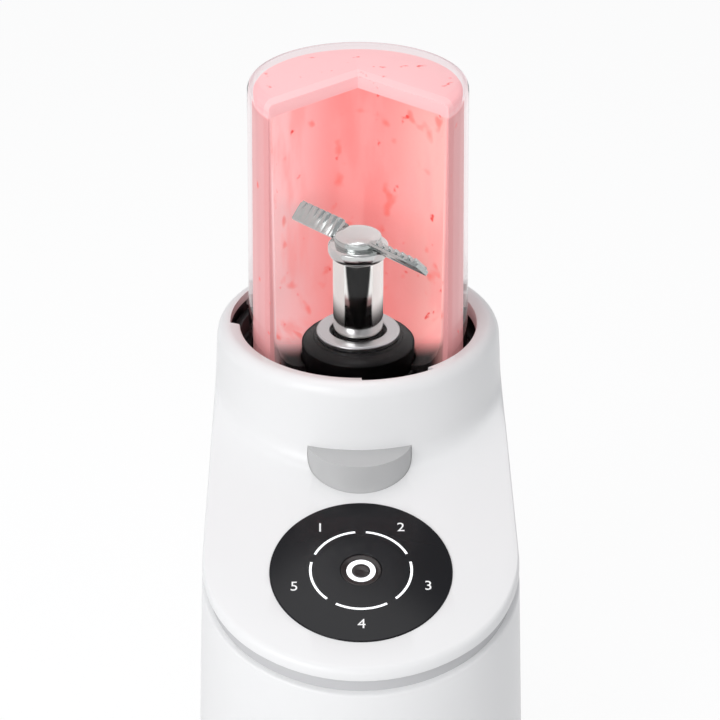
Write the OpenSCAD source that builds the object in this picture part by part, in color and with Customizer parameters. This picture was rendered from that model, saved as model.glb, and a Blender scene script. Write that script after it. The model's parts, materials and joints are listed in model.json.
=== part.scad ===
// Compact ice cream maker: a tapered body with a sloped control deck, a round socket
// for an upside-down jar, and a blade that spins and climbs through the jar.
// Lengths are in millimetres. Inside the modules the jar's axis is x = 0, y = 0;
// at_axis() shifts everything so that the whole machine stands centred on the origin.

/* [Body] */
// Height of the socket lip above the table
rim_z = 250; // [235:1:280]
// Outer radius of the collar at the lip
rim_r = 62.1; // [61.8:0.1:66]
// Outward lean of all the walls towards the table, in degrees
draft = 2.6; // [2:0.1:3.2]
// Distance from the jar's axis to the front face at lip height
front_reach = 166.2; // [164:0.1:175]
// Radius of the broad arc across the front
front_arc_r = 67; // [65:0.5:74]
// Radius of the two front corners
corner_r = 55; // [50:0.5:58]
// Thickness of the plastic walls
wall = 3; // [2.6:0.1:3.2]
// Gap between the lower edge of the body and the table
ground_gap = 4; // [3:0.5:5]

/* [Deck] */
// Slope of the control deck, in degrees
deck_tilt = 14.4; // [12:0.2:16]
// Distance from the jar's axis to the centre of the control panel
panel_y = 119.4; // [118:0.2:121]
// Drop from the socket lip to the deck at the panel's centre
deck_drop = 51.1; // [49:0.1:54]
// Reach of the soft blend between collar and deck
foot_blend = 7; // [4:0.5:9]
// Size of the rounded edge of the deck
edge_round = 2.6; // [1.5:0.1:3]
// Height of the cover's wall below the deck's edge
cover_lip = 4.8; // [4:0.1:6]
// Height of the sunk seam between cover and body
seam_h = 6.5; // [4:0.1:8]
// Depth of the sunk seam
seam_depth = 2.4; // [1:0.1:2.6]
// Thickness of the seam's hidden band
seam_t = 1.2; // [1:0.1:1.4]

/* [Collar] */
// Width of the lip, from the collar's outer wall to its opening
lip_w = 9.97; // [9.4:0.01:10.2]
// Thickness of the lip round its opening
lip_t = 6; // [5:0.5:7]
// Thickness of the lip over the socket's black liner
lip_edge_t = 2.4; // [2:0.1:3]
// Depth of the entry notches behind the lip's edge
notch_depth = 4.07; // [3.4:0.01:4.4]
// Width of an entry notch, in degrees
notch_w = 33; // [28:1:36]
// Where the first of the three even entry notches starts, in degrees from the front
notch_start = 1; // [-30:1:20]
// Height of the rounded crest above the lip
crest_h = 1.4; // [0.8:0.1:2]

/* [Jar] */
// Gap between the jar's mouth and the lip
jar_gap = 3.43; // [3.2:0.01:3.8]
// How much narrower the jar's radius is at its closed end
jar_taper = 2.5; // [1.5:0.1:3.6]
// Height of the jar's closed end above the socket lip
jar_top = 113.8; // [110:0.2:125]
// Thickness of the jar's side wall
jar_wall = 2.6; // [2.2:0.1:3]
// Thickness of the jar's closed end
jar_end_t = 3.4; // [2.5:0.1:4]
// Radius of the jar's rounded end corner
jar_round = 4.6; // [3.5:0.1:6]

/* [Blade] */
// Gap between the blade's sweep and the jar's wall at the closed end
blade_gap = 3.6; // [2.6:0.1:9]
// Height of the blade's middle above the socket lip, where it stands half raised
blade_rise = 39.5; // [39:0.5:44]
// Width of a blade arm across its ridged face
blade_chord = 8.6; // [7:0.2:9.4]
// Pitch angle of the blade arms, in degrees
blade_pitch = 46; // [35:1:52]
// Direction of the first arm, in degrees
blade_angle = 132; // [0:1:180]
// Number of ridges on each arm
ridges = 7; // [5:1:9]
// Height of the ridges above the arm's face
ridge_h = 1.3; // [0.8:0.1:1.6]
// Length of the ridges' teeth past the arm's upper edge
tooth_len = 0.9; // [0.4:0.1:1.2]
// Radius of the polished post
post_r = 11; // [10.8:0.05:11]
// Radius of the cap ring on top of the post
post_cap_r = 13.1; // [12.4:0.1:14]
// Radius of the black hub
hub_r = 25; // [23:0.5:27]
// Outer radius of the steel flange on the hub
flange_r = 18.5; // [17:0.1:20]
// Drop from the socket lip to the top of the steel flange
flange_drop = 3.7; // [3:0.1:5]

/* [Control panel] */
// Radius of the control panel
panel_r = 36.8; // [33:0.2:38]
// How far the panel stands proud of the deck
panel_proud = 0.5; // [0.3:0.1:1]
// Middle radius of the light arcs
arc_r = 20.4; // [18:0.2:24]
// Width of a light arc
arc_w = 1; // [0.6:0.1:1.6]
// Gap between two light arcs, in degrees
arc_gap = 12; // [8:1:20]
// Radius of the start button
start_r = 8.2; // [7.4:0.1:9]
// Travel of the start button
start_travel = 0.8; // [0.5:0.1:1]

/* [Release button] */
// Radius of the rounded release button at its top face
release_r = 22.3; // [20:0.1:23]
// How far the centre of that round lies behind the collar's outer wall
release_set = 7.5; // [6.2:0.1:8]
// Outward flare of the release button towards the deck, in degrees
release_flare = 4.8; // [0:0.2:5]
// Drop from the socket lip to the button's top face
release_drop = 28.4; // [27:0.1:30]
// Travel of the release button
release_travel = 3; // [2:0.1:3.4]

/* [Drive] */
// Teeth on the output gear
output_teeth = 56; // [56:1:56]
// Teeth on the idler gear
idler_teeth = 40; // [40:1:40]
// Teeth on the motor pinion
pinion_teeth = 14; // [14:1:14]
// Module of the blade gears
drive_module = 1.25; // [1.2:0.01:1.28]
// Width of the blade gears
gear_w = 12; // [8:1:13]
// Height of the gears' lower face above the table
gear_z = 20; // [19.5:0.5:21]
// Backlash of every gear pair
backlash = 0.3; // [0.25:0.01:0.4]
// Width across the flats of the sliding drive shaft
hex_af = 12; // [10:0.2:12.6]
// Outer radius of the motor's stator
motor_r = 37; // [33:0.5:38]
// Height of the motor's stator
stator_h = 44; // [36:1:50]

/* [Lift] */
// Travel of the blade upwards
lift_up = 60; // [50:1:61]
// Travel of the blade downwards
lift_down = 34; // [28:1:34]
// Radius of the lift screw
screw_r = 4; // [3.5:0.1:4.5]
// Gap between the lift screw's gear and the collar's wall at lip height
screw_gap = 0.3; // [0.3:0.1:1.3]
// Teeth on the lift screw's gear
screw_teeth = 40; // [40:1:40]
// Teeth on the lift motor's pinion
lift_teeth = 22; // [22:1:22]
// Module of the lift gears
lift_module = 0.8; // [0.76:0.01:0.82]
// Radius of the guide rods
rod_r = 3; // [2.5:0.1:3.5]
// Sideways distance of the guide rods from the jar's axis
rod_x = 34; // [33:0.5:36]
// Distance of the guide rods behind the jar's axis
rod_y = 14; // [12:0.5:16]

/* [Fits] */
// Radial clearance of shafts in their bores
run_fit = 0.05; // [0.03:0.01:0.08]
// Gap between parts that move past each other
slide_gap = 0.3; // [0.25:0.01:0.4]
// Gap round parts that are set into each other
seat_gap = 0.05; // [0.02:0.01:0.1]

/* [Hidden] */

white = "#f2f2f0";
lean = tan(draft);
slope = tan(deck_tilt);
deck_z = rim_z - deck_drop;
drop_to_ground = rim_z - ground_gap;
lip_r = rim_r - lip_w;
notch_r = lip_r + notch_depth;
notch_starts = [for (i = [0 : 2]) notch_start + 120 * i];
jar_mouth_r = lip_r - jar_gap;
jar_end_r = jar_mouth_r - jar_taper;
blade_r = jar_end_r - jar_wall - blade_gap;
release_y = rim_r - release_set;
front_len = front_reach + lean * drop_to_ground;
back_len = rim_r + lean * drop_to_ground;
axis_y = (front_len - back_len) / 2;

// Outline of the body: a half circle behind, straight sides, two corners, a broad front
front_cy = front_arc_r - front_reach;
corner_x = rim_r - corner_r;
corner_angle = asin(corner_x / (front_arc_r - corner_r));
corner_cy = front_cy - (front_arc_r - corner_r) * cos(corner_angle);
back_steps = 24;
side_steps = 5;
corner_steps = 7;
front_steps = 8;
turn = 90 - corner_angle;
// Each station is [centre x, centre y, radius at lip height, direction]
stations = concat(
    [for (i = [0 : back_steps]) [0, 0, rim_r, 180 * i / back_steps]],
    [for (i = [1 : side_steps - 1]) [0, corner_cy * i / side_steps, rim_r, 180]],
    [for (i = [0 : corner_steps]) [-corner_x, corner_cy, corner_r, 180 + turn * i / corner_steps]],
    [for (i = [1 : front_steps - 1])
        [0, front_cy, front_arc_r, 180 + turn + 2 * corner_angle * i / front_steps]],
    [for (i = [0 : corner_steps]) [corner_x, corner_cy, corner_r, 360 - turn * (1 - i / corner_steps)]],
    [for (i = [1 : side_steps - 1]) [0, corner_cy * (1 - i / side_steps), rim_r, 360]]
);
count = len(stations);
front_count = count - back_steps;

function deck_at(y) = deck_z + slope * (y + panel_y);
function grow(z) = lean * (rim_z - z);
function out_x(s, z, inset) = s[0] + (s[2] + grow(z) - inset) * cos(s[3]);
function out_y(s, z, inset) = s[1] + (s[2] + grow(z) - inset) * sin(s[3]);
function level_point(s, z, inset) = [out_x(s, z, inset), out_y(s, z, inset), z];
// Point of the outline on the plane that lies the given drop below the deck
function plane_z(s, inset, drop) =
    (deck_at(out_y(s, 0, inset)) - drop) / (1 + slope * lean * sin(s[3]));
function plane_point(s, inset, drop) = level_point(s, plane_z(s, inset, drop), inset);
function level_ring(z, inset) = [for (s = stations) level_point(s, z, inset)];
function plane_ring(inset, drop) = [for (s = stations) plane_point(s, inset, drop)];

// Side profile of the cover at one station, from the collar down to the cover's lower edge
column_top = rim_z - 5;
blend_steps = 4;
function collar_angle(i) =
    let (s = stations[i], even = 180 + 180 * (i - back_steps) / front_count,
         aim = atan2(out_y(s, deck_z, 0), out_x(s, deck_z, 0)), aim360 = aim <= 0.001 ? aim + 360 : aim)
    (even + aim360) / 2;
function mix(a, b, t) = a * (1 - t) + b * t;
function bend(a, k, b, t) = a * (1 - t) * (1 - t) + k * 2 * t * (1 - t) + b * t * t;
function column_point(angle, z) = [(rim_r + grow(z)) * cos(angle), (rim_r + grow(z)) * sin(angle), z];
soft_drop = 6;
soft_len = 18;
function front_profile(angle, s) =
    let (k1 = column_point(angle, deck_z), k0 = column_point(angle, deck_at(k1[1])),
         e0 = plane_point(s, 0, 0), flat = norm([e0[0] - k0[0], e0[1] - k0[1]]),
         drop = soft_drop * (1 - min(1, flat / soft_len)),
         k = column_point(angle, k0[2] + drop / 2), e = level_point(s, e0[2] - drop / 2, 0),
         a = column_point(angle, k[2] + foot_blend),
         run = norm(e - k),
         m1 = mix(k, e, min(foot_blend, 0.4 * run) / run),
         m2 = mix(e, k, min(edge_round, 0.4 * run) / run),
         low_z = e0[2] - cover_lip,
         e_low = level_point(s, mix(e[2], low_z, 0.6), 0))
    concat(
        [for (j = [0 : blend_steps]) bend(a, k, m1, j / blend_steps)],
        [for (j = [0 : 3]) bend(m2, e, e_low, j / 3)],
        [level_point(s, low_z, 0)]
    );
side_profile = front_profile(180, stations[back_steps]);
side_low = side_profile[len(side_profile) - 1][2];
function back_profile(s) =
    let (low = plane_z(s, 0, cover_lip))
    [for (p = side_profile)
        level_point(s, mix(column_top, low, (column_top - p[2]) / (column_top - side_low)), 0)];
cover_profiles = [for (i = [0 : count - 1])
    i <= back_steps ? back_profile(stations[i]) : front_profile(collar_angle(i), stations[i])];
cover_angles = [for (i = [0 : count - 1]) i <= back_steps ? stations[i][3] : collar_angle(i)];
profile_len = len(side_profile);

// Rounded rim of the collar, as [distance in from the outer wall, height above the lip]
rim_steps = [[0, -5], [0.25, -3], [1.2, -0.9], [2.7, 0.6], [4.6, crest_h], [6.6, crest_h - 0.2],
             [8.6, 0.7], [12, 0.1]];
function rim_ring(step) = [for (a = cover_angles)
    [(rim_r - step[0]) * cos(a), (rim_r - step[0]) * sin(a), rim_z + step[1]]];

// Solid between stacked rings of equal length, lowest ring first; each end closes on its centre
function centre(ring) = [for (axis = [0 : 2]) [for (p = ring) p[axis]] * [for (p = ring) 1 / len(ring)]];
module ring_solid(rings) {
    n = len(rings[0]);
    layers = len(rings);
    low = n * layers;
    high = low + 1;
    polyhedron(
        points = concat([for (r = rings) for (p = r) p], [centre(rings[0]), centre(rings[layers - 1])]),
        faces = concat(
            [for (i = [0 : n - 1]) [low, i, (i + 1) % n]],
            [for (j = [0 : layers - 2]) for (i = [0 : n - 1]) let (k = (i + 1) % n)
                each [[j * n + i, (j + 1) * n + i, (j + 1) * n + k],
                      [j * n + i, (j + 1) * n + k, j * n + k]]],
            [for (i = [0 : n - 1]) [high, high - 2 - i, high - 2 - (i + 1) % n]]
        ),
        convexity = 10
    );
}

module at_axis() { translate([0, axis_y, 0]) children(); }
module on_deck() { at_axis() translate([0, -panel_y, deck_z]) rotate([deck_tilt, 0, 0]) children(); }
module tube(r_out, r_in, h, z = 0) {
    translate([0, 0, z]) difference() {
        cylinder(h = h, r = r_out, $fn = 96);
        translate([0, 0, -1]) cylinder(h = h + 2, r = r_in, $fn = 96);
    }
}
module rod(r, h, z = 0) { translate([0, 0, z]) cylinder(h = h, r = r, $fn = 64); }
// Sector of a ring, in degrees from the front and positive to the right
module sector(r_in, r_out, z, h, start, width) {
    translate([0, 0, z]) rotate([0, 0, start - 90])
        rotate_extrude(angle = width, $fn = 144) translate([r_in, 0]) square([r_out - r_in, h]);
}

// ---- Gears ----
pressure = 20;
function inv_deg(a) = tan(a) * 180 / PI - a;
function flank(r, rb) = inv_deg(acos(min(1, rb / r)));
module gear_2d(teeth, m) {
    rp = teeth * m / 2;
    rb = rp * cos(pressure);
    ra = rp + m;
    rf = rp - 1.25 * m;
    half = 90 / teeth - backlash / 2 / rp * 180 / PI / 2;
    start = max(rb, rf + 0.05);
    radii = [start, mix(start, ra, 0.4), mix(start, ra, 0.72), ra];
    edge = half + inv_deg(pressure);
    polygon([for (t = [0 : teeth - 1]) let (c = 360 * t / teeth)
        each concat(
            [rf * [cos(c - edge), sin(c - edge)]],
            [for (r = radii) let (a = c - edge + flank(r, rb)) r * [cos(a), sin(a)]],
            [for (j = [3 : -1 : 0]) let (r = radii[j], a = c + edge - flank(r, rb)) r * [cos(a), sin(a)]],
            [rf * [cos(c + edge), sin(c + edge)]]
        )]);
}
module gear_wheel(teeth, m, w, bore, web_holes = 0, hub = 0) {
    rp = teeth * m / 2;
    hole_r = (rp - hub - 5) / 2 - 1.5;
    hole_c = (rp + hub - 2) / 2;
    difference() {
        linear_extrude(w) gear_2d(teeth, m);
        translate([0, 0, -1]) cylinder(h = w + 2, r = bore, $fn = 64);
        if (web_holes > 0) for (i = [0 : web_holes - 1]) rotate([0, 0, 360 * (i + 0.5) / web_holes])
            translate([hole_c, 0, -1]) cylinder(h = w + 2, r = hole_r, $fn = 48);
    }
}

output_r = output_teeth * drive_module / 2;
idler_r = idler_teeth * drive_module / 2;
pinion_r = pinion_teeth * drive_module / 2;
idler_y = -(output_r + idler_r);
motor_y = idler_y - idler_r - pinion_r;
screw_gear_r = screw_teeth * lift_module / 2;
lift_pinion_r = lift_teeth * lift_module / 2;
lift_angle = -10;
screw_y = rim_r - wall - screw_gear_r - lift_module - screw_gap;
lift_x = (screw_gear_r + lift_pinion_r) * cos(lift_angle);
lift_y = screw_y + (screw_gear_r + lift_pinion_r) * sin(lift_angle);
screw_lead = 8;

// ---- Heights of the mechanism ----
plate_t = 3;
foot_h = 6;
floor_z = foot_h;
lower_plate_z = gear_z - 3 - plate_t;
upper_plate_z = gear_z + gear_w + 6;
upper_plate_top = upper_plate_z + plate_t;
shaft_r = 8;
liner_floor = rim_z - 45;
liner_floor_t = 2.5;
liner_top = rim_z - lip_edge_t;
lip_under = rim_z - lip_t;
collar_wall = wall - 0.25;
// The seam climbs towards the back, where its band comes closest to the liner
seam_back_z = plane_z(stations[back_steps / 2], 0, cover_lip);
liner_gap = 0.3;
liner_t = 1;
liner_r = rim_r + grow(seam_back_z) - seam_depth - seam_t - liner_gap;
liner_in = liner_r - liner_t;
liner_hole_r = 14.5;
liner_hub_r = 16.5;
liner_hub_h = 5.5;
lock_out = liner_in - slide_gap;
lock_z = liner_floor + liner_floor_t + slide_gap;
lock_h = 28;
lock_step = 5;
lug_gap = 0.4;
lug_top = lip_under - lug_gap;
cap_bottom = rim_z - 38;
cap_ledge = rim_z - 30;
cap_floor = rim_z - 20;
jar_fit = 0.8;
skirt_t = 1.1;
cap_r = jar_mouth_r + jar_fit + skirt_t;
cap_gap = 0.4;
lock_in = cap_r + cap_gap;
skirt_top = rim_z - 14;
rib_h = 1.2;
rib_w = 5;
key_side = 0.3;
key_depth = 0.35;
undercut_wall = 1;
undercut_rim = 10.6;
undercut_draft = 1;
gasket_t = 2;
jar_mouth_z = cap_ledge + gasket_t;
jar_end_z = rim_z + jar_top;
hub_top = rim_z - 6.5;
flange_z = rim_z - flange_drop;
bush_r = 12.4;
bush_top = flange_z - 1.5;
bush_bottom = cap_bottom + 4;
sleeve_r = 14;
join_z = rim_z - 14;
post_top = rim_z + blade_rise - 7.9;
blade_z = rim_z + blade_rise;
spindle_r = post_r - 0.1;
spindle_top = join_z - slide_gap;
spindle_bottom = spindle_top - 151.2;
nose_h = 7;
hex_r = hex_af / 2 / cos(30);
shaft_top = spindle_top - 48;
carriage_z = spindle_bottom;
carriage_t = 10;
bearing_r = 16.9;
bearing_z = carriage_z + 3;
bearing_h = 6;
bracket_z = liner_floor - 14;
lift_gear_z = bracket_z + plate_t + 1.5;
lift_gear_w = 5;
panel_t = 2.1;
board_drop = 8;
release_top = rim_z - release_drop;
release_t = 3;
release_skirt = release_top - 21;
release_wall = 2.2;
boss_y = 14;
tongue_z = release_top - 9;
tongue_h = 5;
tongue_w = 10;
spring_z = release_skirt - 14;
boss_r = 8;
boss_h = 26;
boss_bite = 0.62;
screw_x = rim_r + grow(floor_z) - wall - boss_r + boss_bite;
screw_spots = [[screw_x, 8], [-screw_x, 8], [screw_x, -108], [-screw_x, -108]];
foot_r = 8;
foot_spread = 1.6;
foot_inset = 14.1;
foot_x = rim_r - foot_inset;
foot_spots = [[foot_x, 34], [-foot_x, 34], [40, -136], [-40, -136]];
post_spots = [[44, 20], [-44, 20], [42, -30], [-42, -30], [36, -124], [-36, -124]];
gland_z = 34;

// ---- Housings ----
module body_outline(inset, z) {
    polygon([for (s = stations) [out_x(s, z, inset), out_y(s, z, inset)]]);
}
vent_w = 3;
vent_h = 34;
vent_step = 7;
vent_z = 60;
screw_len = 18;
screw_r_base = 1.55;
gland_r = 6.3;
module vent_slots() {
    for (i = [-4 : 4]) translate([i * vent_step - vent_w / 2, rim_r / 2, vent_z]) cube([vent_w, rim_r, vent_h]);
}
module lower_housing() {
    color(white) at_axis() difference() {
        union() {
            difference() {
                ring_solid([
                    level_ring(ground_gap, 1.2), level_ring(ground_gap + 1.2, 0), level_ring(rim_z / 2, 0),
                    plane_ring(0, cover_lip + seam_h + 1), plane_ring(1, cover_lip + seam_h)
                ]);
                ring_solid([level_ring(ground_gap - 1, wall), plane_ring(wall, cover_lip + seam_h - 1)]);
            }
            for (p = screw_spots) translate([p[0], p[1], 0])
                translate([0, 0, floor_z + plate_t]) cylinder(h = boss_h, r = boss_r, $fn = 48);
        }
        for (p = screw_spots) translate([p[0], p[1], 0])
            translate([0, 0, floor_z]) cylinder(h = screw_len, r = screw_r_base + seat_gap, $fn = 32);
        vent_slots();
        translate([0, 90, gland_z]) rotate([90, 0, 0]) cylinder(h = 40, r = gland_r + 0.2, $fn = 64);
    }
}
function release_at(z) = release_r + (release_top - z) * tan(release_flare);
module release_cone(z1, z2, gap) {
    translate([0, -release_y, z1])
        cylinder(h = z2 - z1, r1 = release_at(z1) + gap, r2 = release_at(z2) + gap, $fn = 128);
}
module upper_housing() {
    outer = concat(
        [for (j = [0 : profile_len - 1]) [for (i = [0 : count - 1]) cover_profiles[i][profile_len - 1 - j]]],
        [for (step = rim_steps) rim_ring(step)]
    );
    color(white) at_axis() difference() {
        ring_solid(outer);
        ring_solid([plane_ring(wall, cover_lip + 30), plane_ring(wall, wall)]);
        rotate_extrude($fn = 144) polygon([
            [0, rim_z - 90], [rim_r + grow(rim_z - 90) - collar_wall, rim_z - 90],
            [rim_r + grow(liner_top) - collar_wall, liner_top], [liner_in - seat_gap, liner_top],
            [liner_in - seat_gap, lip_under], [0, lip_under]
        ]);
        translate([0, 0, rim_z - 20]) cylinder(h = 40, r = lip_r, $fn = 144);
        for (a = notch_starts) {
            sector(lip_r - 3, notch_r, lip_under - 1, 20, a, notch_w);
            sector(lip_r - 3, liner_in + liner_t / 2, lip_under - 1, liner_top - lip_under + 1, a, notch_w);
        }
        release_cone(release_skirt - 14, release_top + slide_gap, slide_gap);
        translate([0, -panel_y, deck_z]) rotate([deck_tilt, 0, 0]) {
            translate([0, 0, panel_proud - panel_t]) cylinder(h = 20, r = panel_r + 0.15, $fn = 144);
            translate([0, 0, -20]) cylinder(h = 30, r = panel_r - 4, $fn = 96);
        }
    }
}
module seam_ring() {
    color("#d9d9d7") at_axis() difference() {
        ring_solid([plane_ring(seam_depth, cover_lip + seam_h), plane_ring(seam_depth, cover_lip)]);
        ring_solid([
            plane_ring(seam_depth + seam_t, cover_lip + seam_h + 1), plane_ring(seam_depth + seam_t, cover_lip - 1)
        ]);
    }
}
module base_plate() {
    color("#e4e4e2") at_axis() difference() {
        translate([0, 0, floor_z]) linear_extrude(plate_t) body_outline(wall + 0.3, floor_z);
        for (p = screw_spots) translate([p[0], p[1], 0]) rod(screw_r_base + slide_gap, 20, 0);
        for (x = [-3 : 3]) for (y = [0 : 3])
            translate([x * 3 * vent_w - vent_w / 2, motor_y + 12 - y * 14, 0]) cube([vent_w, 10, 20]);
    }
}
module rubber_feet() {
    color("#5a5a5a") at_axis() for (p = foot_spots) translate([p[0], p[1], 0])
        rotate_extrude($fn = 64)
            polygon([[0, 0], [foot_r, 0], [foot_r + 1, 1], [foot_r + foot_spread, foot_h], [0, foot_h]]);
}
screw_head_r = 3.2;
screw_head_h = 1.4;
module base_screws() {
    color("silver") at_axis() for (p = screw_spots) translate([p[0], p[1], 0]) {
        rod(screw_r_base, screw_len, floor_z);
        translate([0, 0, floor_z - screw_head_h])
            cylinder(h = screw_head_h, r1 = screw_head_r - 0.8, r2 = screw_head_r, $fn = 48);
    }
}

// ---- Socket ----
switch_spot = [-38, 22];
switch_len = 18;
switch_w = 10;
switch_pin_r = 1.6;
module socket_liner() {
    color("#1c1c1e") at_axis() difference() {
        union() {
            tube(liner_r, liner_in, liner_top - liner_floor, liner_floor);
            tube(liner_r, liner_hole_r, liner_floor_t, liner_floor);
            tube(liner_hub_r, liner_hole_r, liner_hub_h, liner_floor);
        }
        translate([-tongue_w / 2 - 0.5, -liner_r - 2, liner_floor + liner_floor_t])
            cube([tongue_w + 1, 12, tongue_z + tongue_h + 1 - liner_floor - liner_floor_t]);
        translate([switch_spot[0], switch_spot[1], liner_floor - 1])
            cylinder(h = 6, r = switch_pin_r + 0.4, $fn = 32);
    }
}
module lock_ring() {
    color("#202022") at_axis() difference() {
        union() {
            tube(lock_out, lock_in, lock_h, lock_z);
            tube(lock_in + 0.5, lock_in - lock_step, cap_bottom - slide_gap - lock_z, lock_z);
            for (a = notch_starts)
                sector(lip_r + slide_gap, notch_r - lug_gap, lock_z + lock_h - 1, lug_top - lock_z - lock_h + 1,
                       a + 1, notch_w - 2);
        }
        for (i = [0 : 5]) rotate([0, 0, i * 60 + 30]) translate([lock_in - 2, -rib_w / 2 - key_side, lock_z - 1])
            cube([cap_r + rib_h + key_depth - lock_in + 2, rib_w + 2 * key_side, lock_h + 2]);
        sector(lock_in - 1, lock_out + 1, lock_z - 1, tongue_z + tongue_h + 2 - lock_z, -38, 46);
    }
}

// ---- Jar and cap ----
module jar() {
    color("#f3c9cc", 0.5) at_axis() rotate_extrude($fn = 144) polygon(concat(
        [[jar_mouth_r - jar_wall, jar_mouth_z], [jar_mouth_r, jar_mouth_z]],
        [for (i = [0 : 6]) let (a = i * 15)
            [jar_end_r - jar_round * (1 - cos(a)), jar_end_z - jar_round * (1 - sin(a))]],
        [[0, jar_end_z], [0, jar_end_z - jar_end_t]],
        [for (i = [6 : -1 : 0]) let (a = i * 15, r = jar_round - 1)
            [jar_end_r - jar_wall - r * (1 - cos(a)), jar_end_z - jar_end_t - r * (1 - sin(a))]]
    ));
}
module blade_cap() {
    color("#161617") at_axis() difference() {
        union() {
            rotate_extrude($fn = 144) polygon([
                [sleeve_r + run_fit, cap_bottom], [cap_r - 1.5, cap_bottom], [cap_r, cap_bottom + 1.5],
                [cap_r, skirt_top], [cap_r - skirt_t, skirt_top], [cap_r - skirt_t, cap_ledge],
                [jar_mouth_r - jar_wall - jar_fit, cap_ledge], [jar_mouth_r - jar_wall - 2 * jar_fit, cap_floor],
                [hub_r, cap_floor], [hub_r, hub_top - 3.4], [hub_r - 1.4, hub_top - 1.9],
                [flange_r + 1.6, hub_top - 0.9], [flange_r + 1.2, hub_top],
                [sleeve_r + run_fit, hub_top]
            ]);
            for (i = [0 : 5]) rotate([0, 0, i * 60 + 30])
                translate([cap_r - 1, -rib_w / 2, cap_bottom + 2]) cube([1 + rib_h, rib_w, skirt_top - cap_bottom - 4]);
        }
        rotate_extrude($fn = 96) polygon([
            [hub_r + undercut_wall, cap_bottom - 1], [cap_r - undercut_rim, cap_bottom - 1],
            [cap_r - undercut_rim - undercut_draft, cap_ledge + 6], [hub_r + undercut_wall + undercut_draft, cap_ledge + 6]
        ]);
    }
}
module cap_gasket() {
    color("#c9c9c9") at_axis() tube(jar_mouth_r + slide_gap, jar_mouth_r - jar_wall - jar_fit / 2, gasket_t, cap_ledge);
}
module hub_flange() {
    color("#c8c8c6") at_axis() rotate_extrude($fn = 144) polygon([
        [bush_r + run_fit, bush_bottom + 3], [sleeve_r, bush_bottom + 3], [sleeve_r, hub_top + slide_gap],
        [flange_r, hub_top + slide_gap], [flange_r, flange_z - 0.7], [flange_r - 0.7, flange_z],
        [bush_r + 0.7, flange_z], [bush_r + run_fit, flange_z - 0.7]
    ]);
}
module seal_bush() {
    color("#111112") at_axis() rotate_extrude($fn = 96) polygon([
        [post_r + run_fit, bush_bottom], [sleeve_r - 0.4, bush_bottom], [sleeve_r - 0.4, bush_bottom + 2.7],
        [bush_r, bush_bottom + 2.7], [bush_r, bush_top], [post_r + run_fit, bush_top - 1]
    ]);
}

// ---- Blade ----
module hex(across, h, z = 0) { translate([0, 0, z]) cylinder(h = h, r = across / 2 / cos(30), $fn = 6); }
nose_af = 10;
module blade_post() {
    color("#d8d8d6") at_axis() difference() {
        rod(post_r, post_top - join_z, join_z);
        hex(nose_af + 2 * slide_gap, nose_h + 1, join_z - 0.001);
    }
}
module post_cap() {
    color("#d8d8d6") at_axis() rotate_extrude($fn = 96) polygon([
        [0, post_top], [post_r + 0.3, post_top], [post_cap_r - 0.8, post_top + 0.9], [post_cap_r, post_top + 2.6],
        [post_cap_r, blade_z - 2.4], [post_cap_r - 0.8, blade_z - 1.6], [0, blade_z - 1.6]
    ]);
}
nut_r = 10;
ridge_root = nut_r + 2;
ridge_step = (blade_r - ridge_root) / ridges;
arm_t = 2.2;
// A flat arm whose raised ridges run across it and end in teeth past its upper edge
module blade_arm() {
    rotate([90 - blade_pitch, 0, 0]) translate([0, 0, -blade_chord / 2]) {
        linear_extrude(blade_chord) translate([nut_r / 2, -arm_t / 2]) square([blade_r - nut_r / 2, arm_t]);
        linear_extrude(blade_chord + tooth_len) for (i = [0 : ridges - 1]) translate([ridge_root + i * ridge_step, 0])
            polygon([[0, 0], [0, arm_t / 2], [0.5 * ridge_step, arm_t / 2 + ridge_h], [0.75 * ridge_step, arm_t / 2],
                     [0.75 * ridge_step, 0]]);
    }
}
blade_hub_t = 3.2;
module blade() {
    color("#b9bab8") at_axis() translate([0, 0, blade_z]) difference() {
        union() {
            intersection() {
                for (a = [0, 180]) rotate([0, 0, blade_angle + a]) blade_arm();
                difference() {
                    cylinder(h = 20, r = blade_r, center = true, $fn = 128);
                    translate([0, 0, -blade_hub_t / 2 - 20]) cylinder(h = 20, r = post_cap_r + slide_gap, $fn = 64);
                }
            }
            translate([0, 0, -blade_hub_t / 2]) cylinder(h = blade_hub_t, r = nut_r + 0.2, $fn = 64);
        }
        translate([0, 0, blade_hub_t / 2]) cylinder(h = 20, r = nut_r + 0.6, $fn = 64);
    }
}
module blade_nut() {
    color("#d0d0ce") at_axis() translate([0, 0, blade_z + blade_hub_t / 2]) rotate_extrude($fn = 64) polygon([
        [0, 0], [nut_r, 0], [nut_r, 0.5], [nut_r - 0.8, 1.1], [0.66 * nut_r, 1.9], [0.35 * nut_r, 2.3], [0, 2.4]
    ]);
}

// ---- Spindle and lift ----
module spindle() {
    color("#d0d0ce") at_axis() {
        difference() {
            rod(spindle_r, spindle_top - spindle_bottom, spindle_bottom);
            hex(hex_af + 0.3, spindle_top - spindle_bottom - 12, spindle_bottom - 0.001);
        }
        hex(nose_af, nose_h, spindle_top);
    }
}
collar_r = 14;
collar_h = 4;
module spindle_collar() {
    color("silver") at_axis() tube(collar_r, spindle_r, collar_h, bearing_z + bearing_h + slide_gap);
}
module drive_shaft() {
    color("#a0a2a5") at_axis() {
        rod(shaft_r, upper_plate_top + 4 - lower_plate_z + 1, lower_plate_z - 1);
        hex(hex_af, shaft_top - upper_plate_top - 3, upper_plate_top + 3);
    }
}
module output_gear() {
    color("#e6e2d3") at_axis() translate([0, 0, gear_z])
        gear_wheel(output_teeth, drive_module, gear_w, shaft_r, 6, 13);
}
module idler_gear() {
    color("#e6e2d3") at_axis() translate([0, idler_y, gear_z]) rotate([0, 0, 180 / idler_teeth])
        gear_wheel(idler_teeth, drive_module, gear_w, idler_pin_r + run_fit, 5, 8);
}
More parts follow.
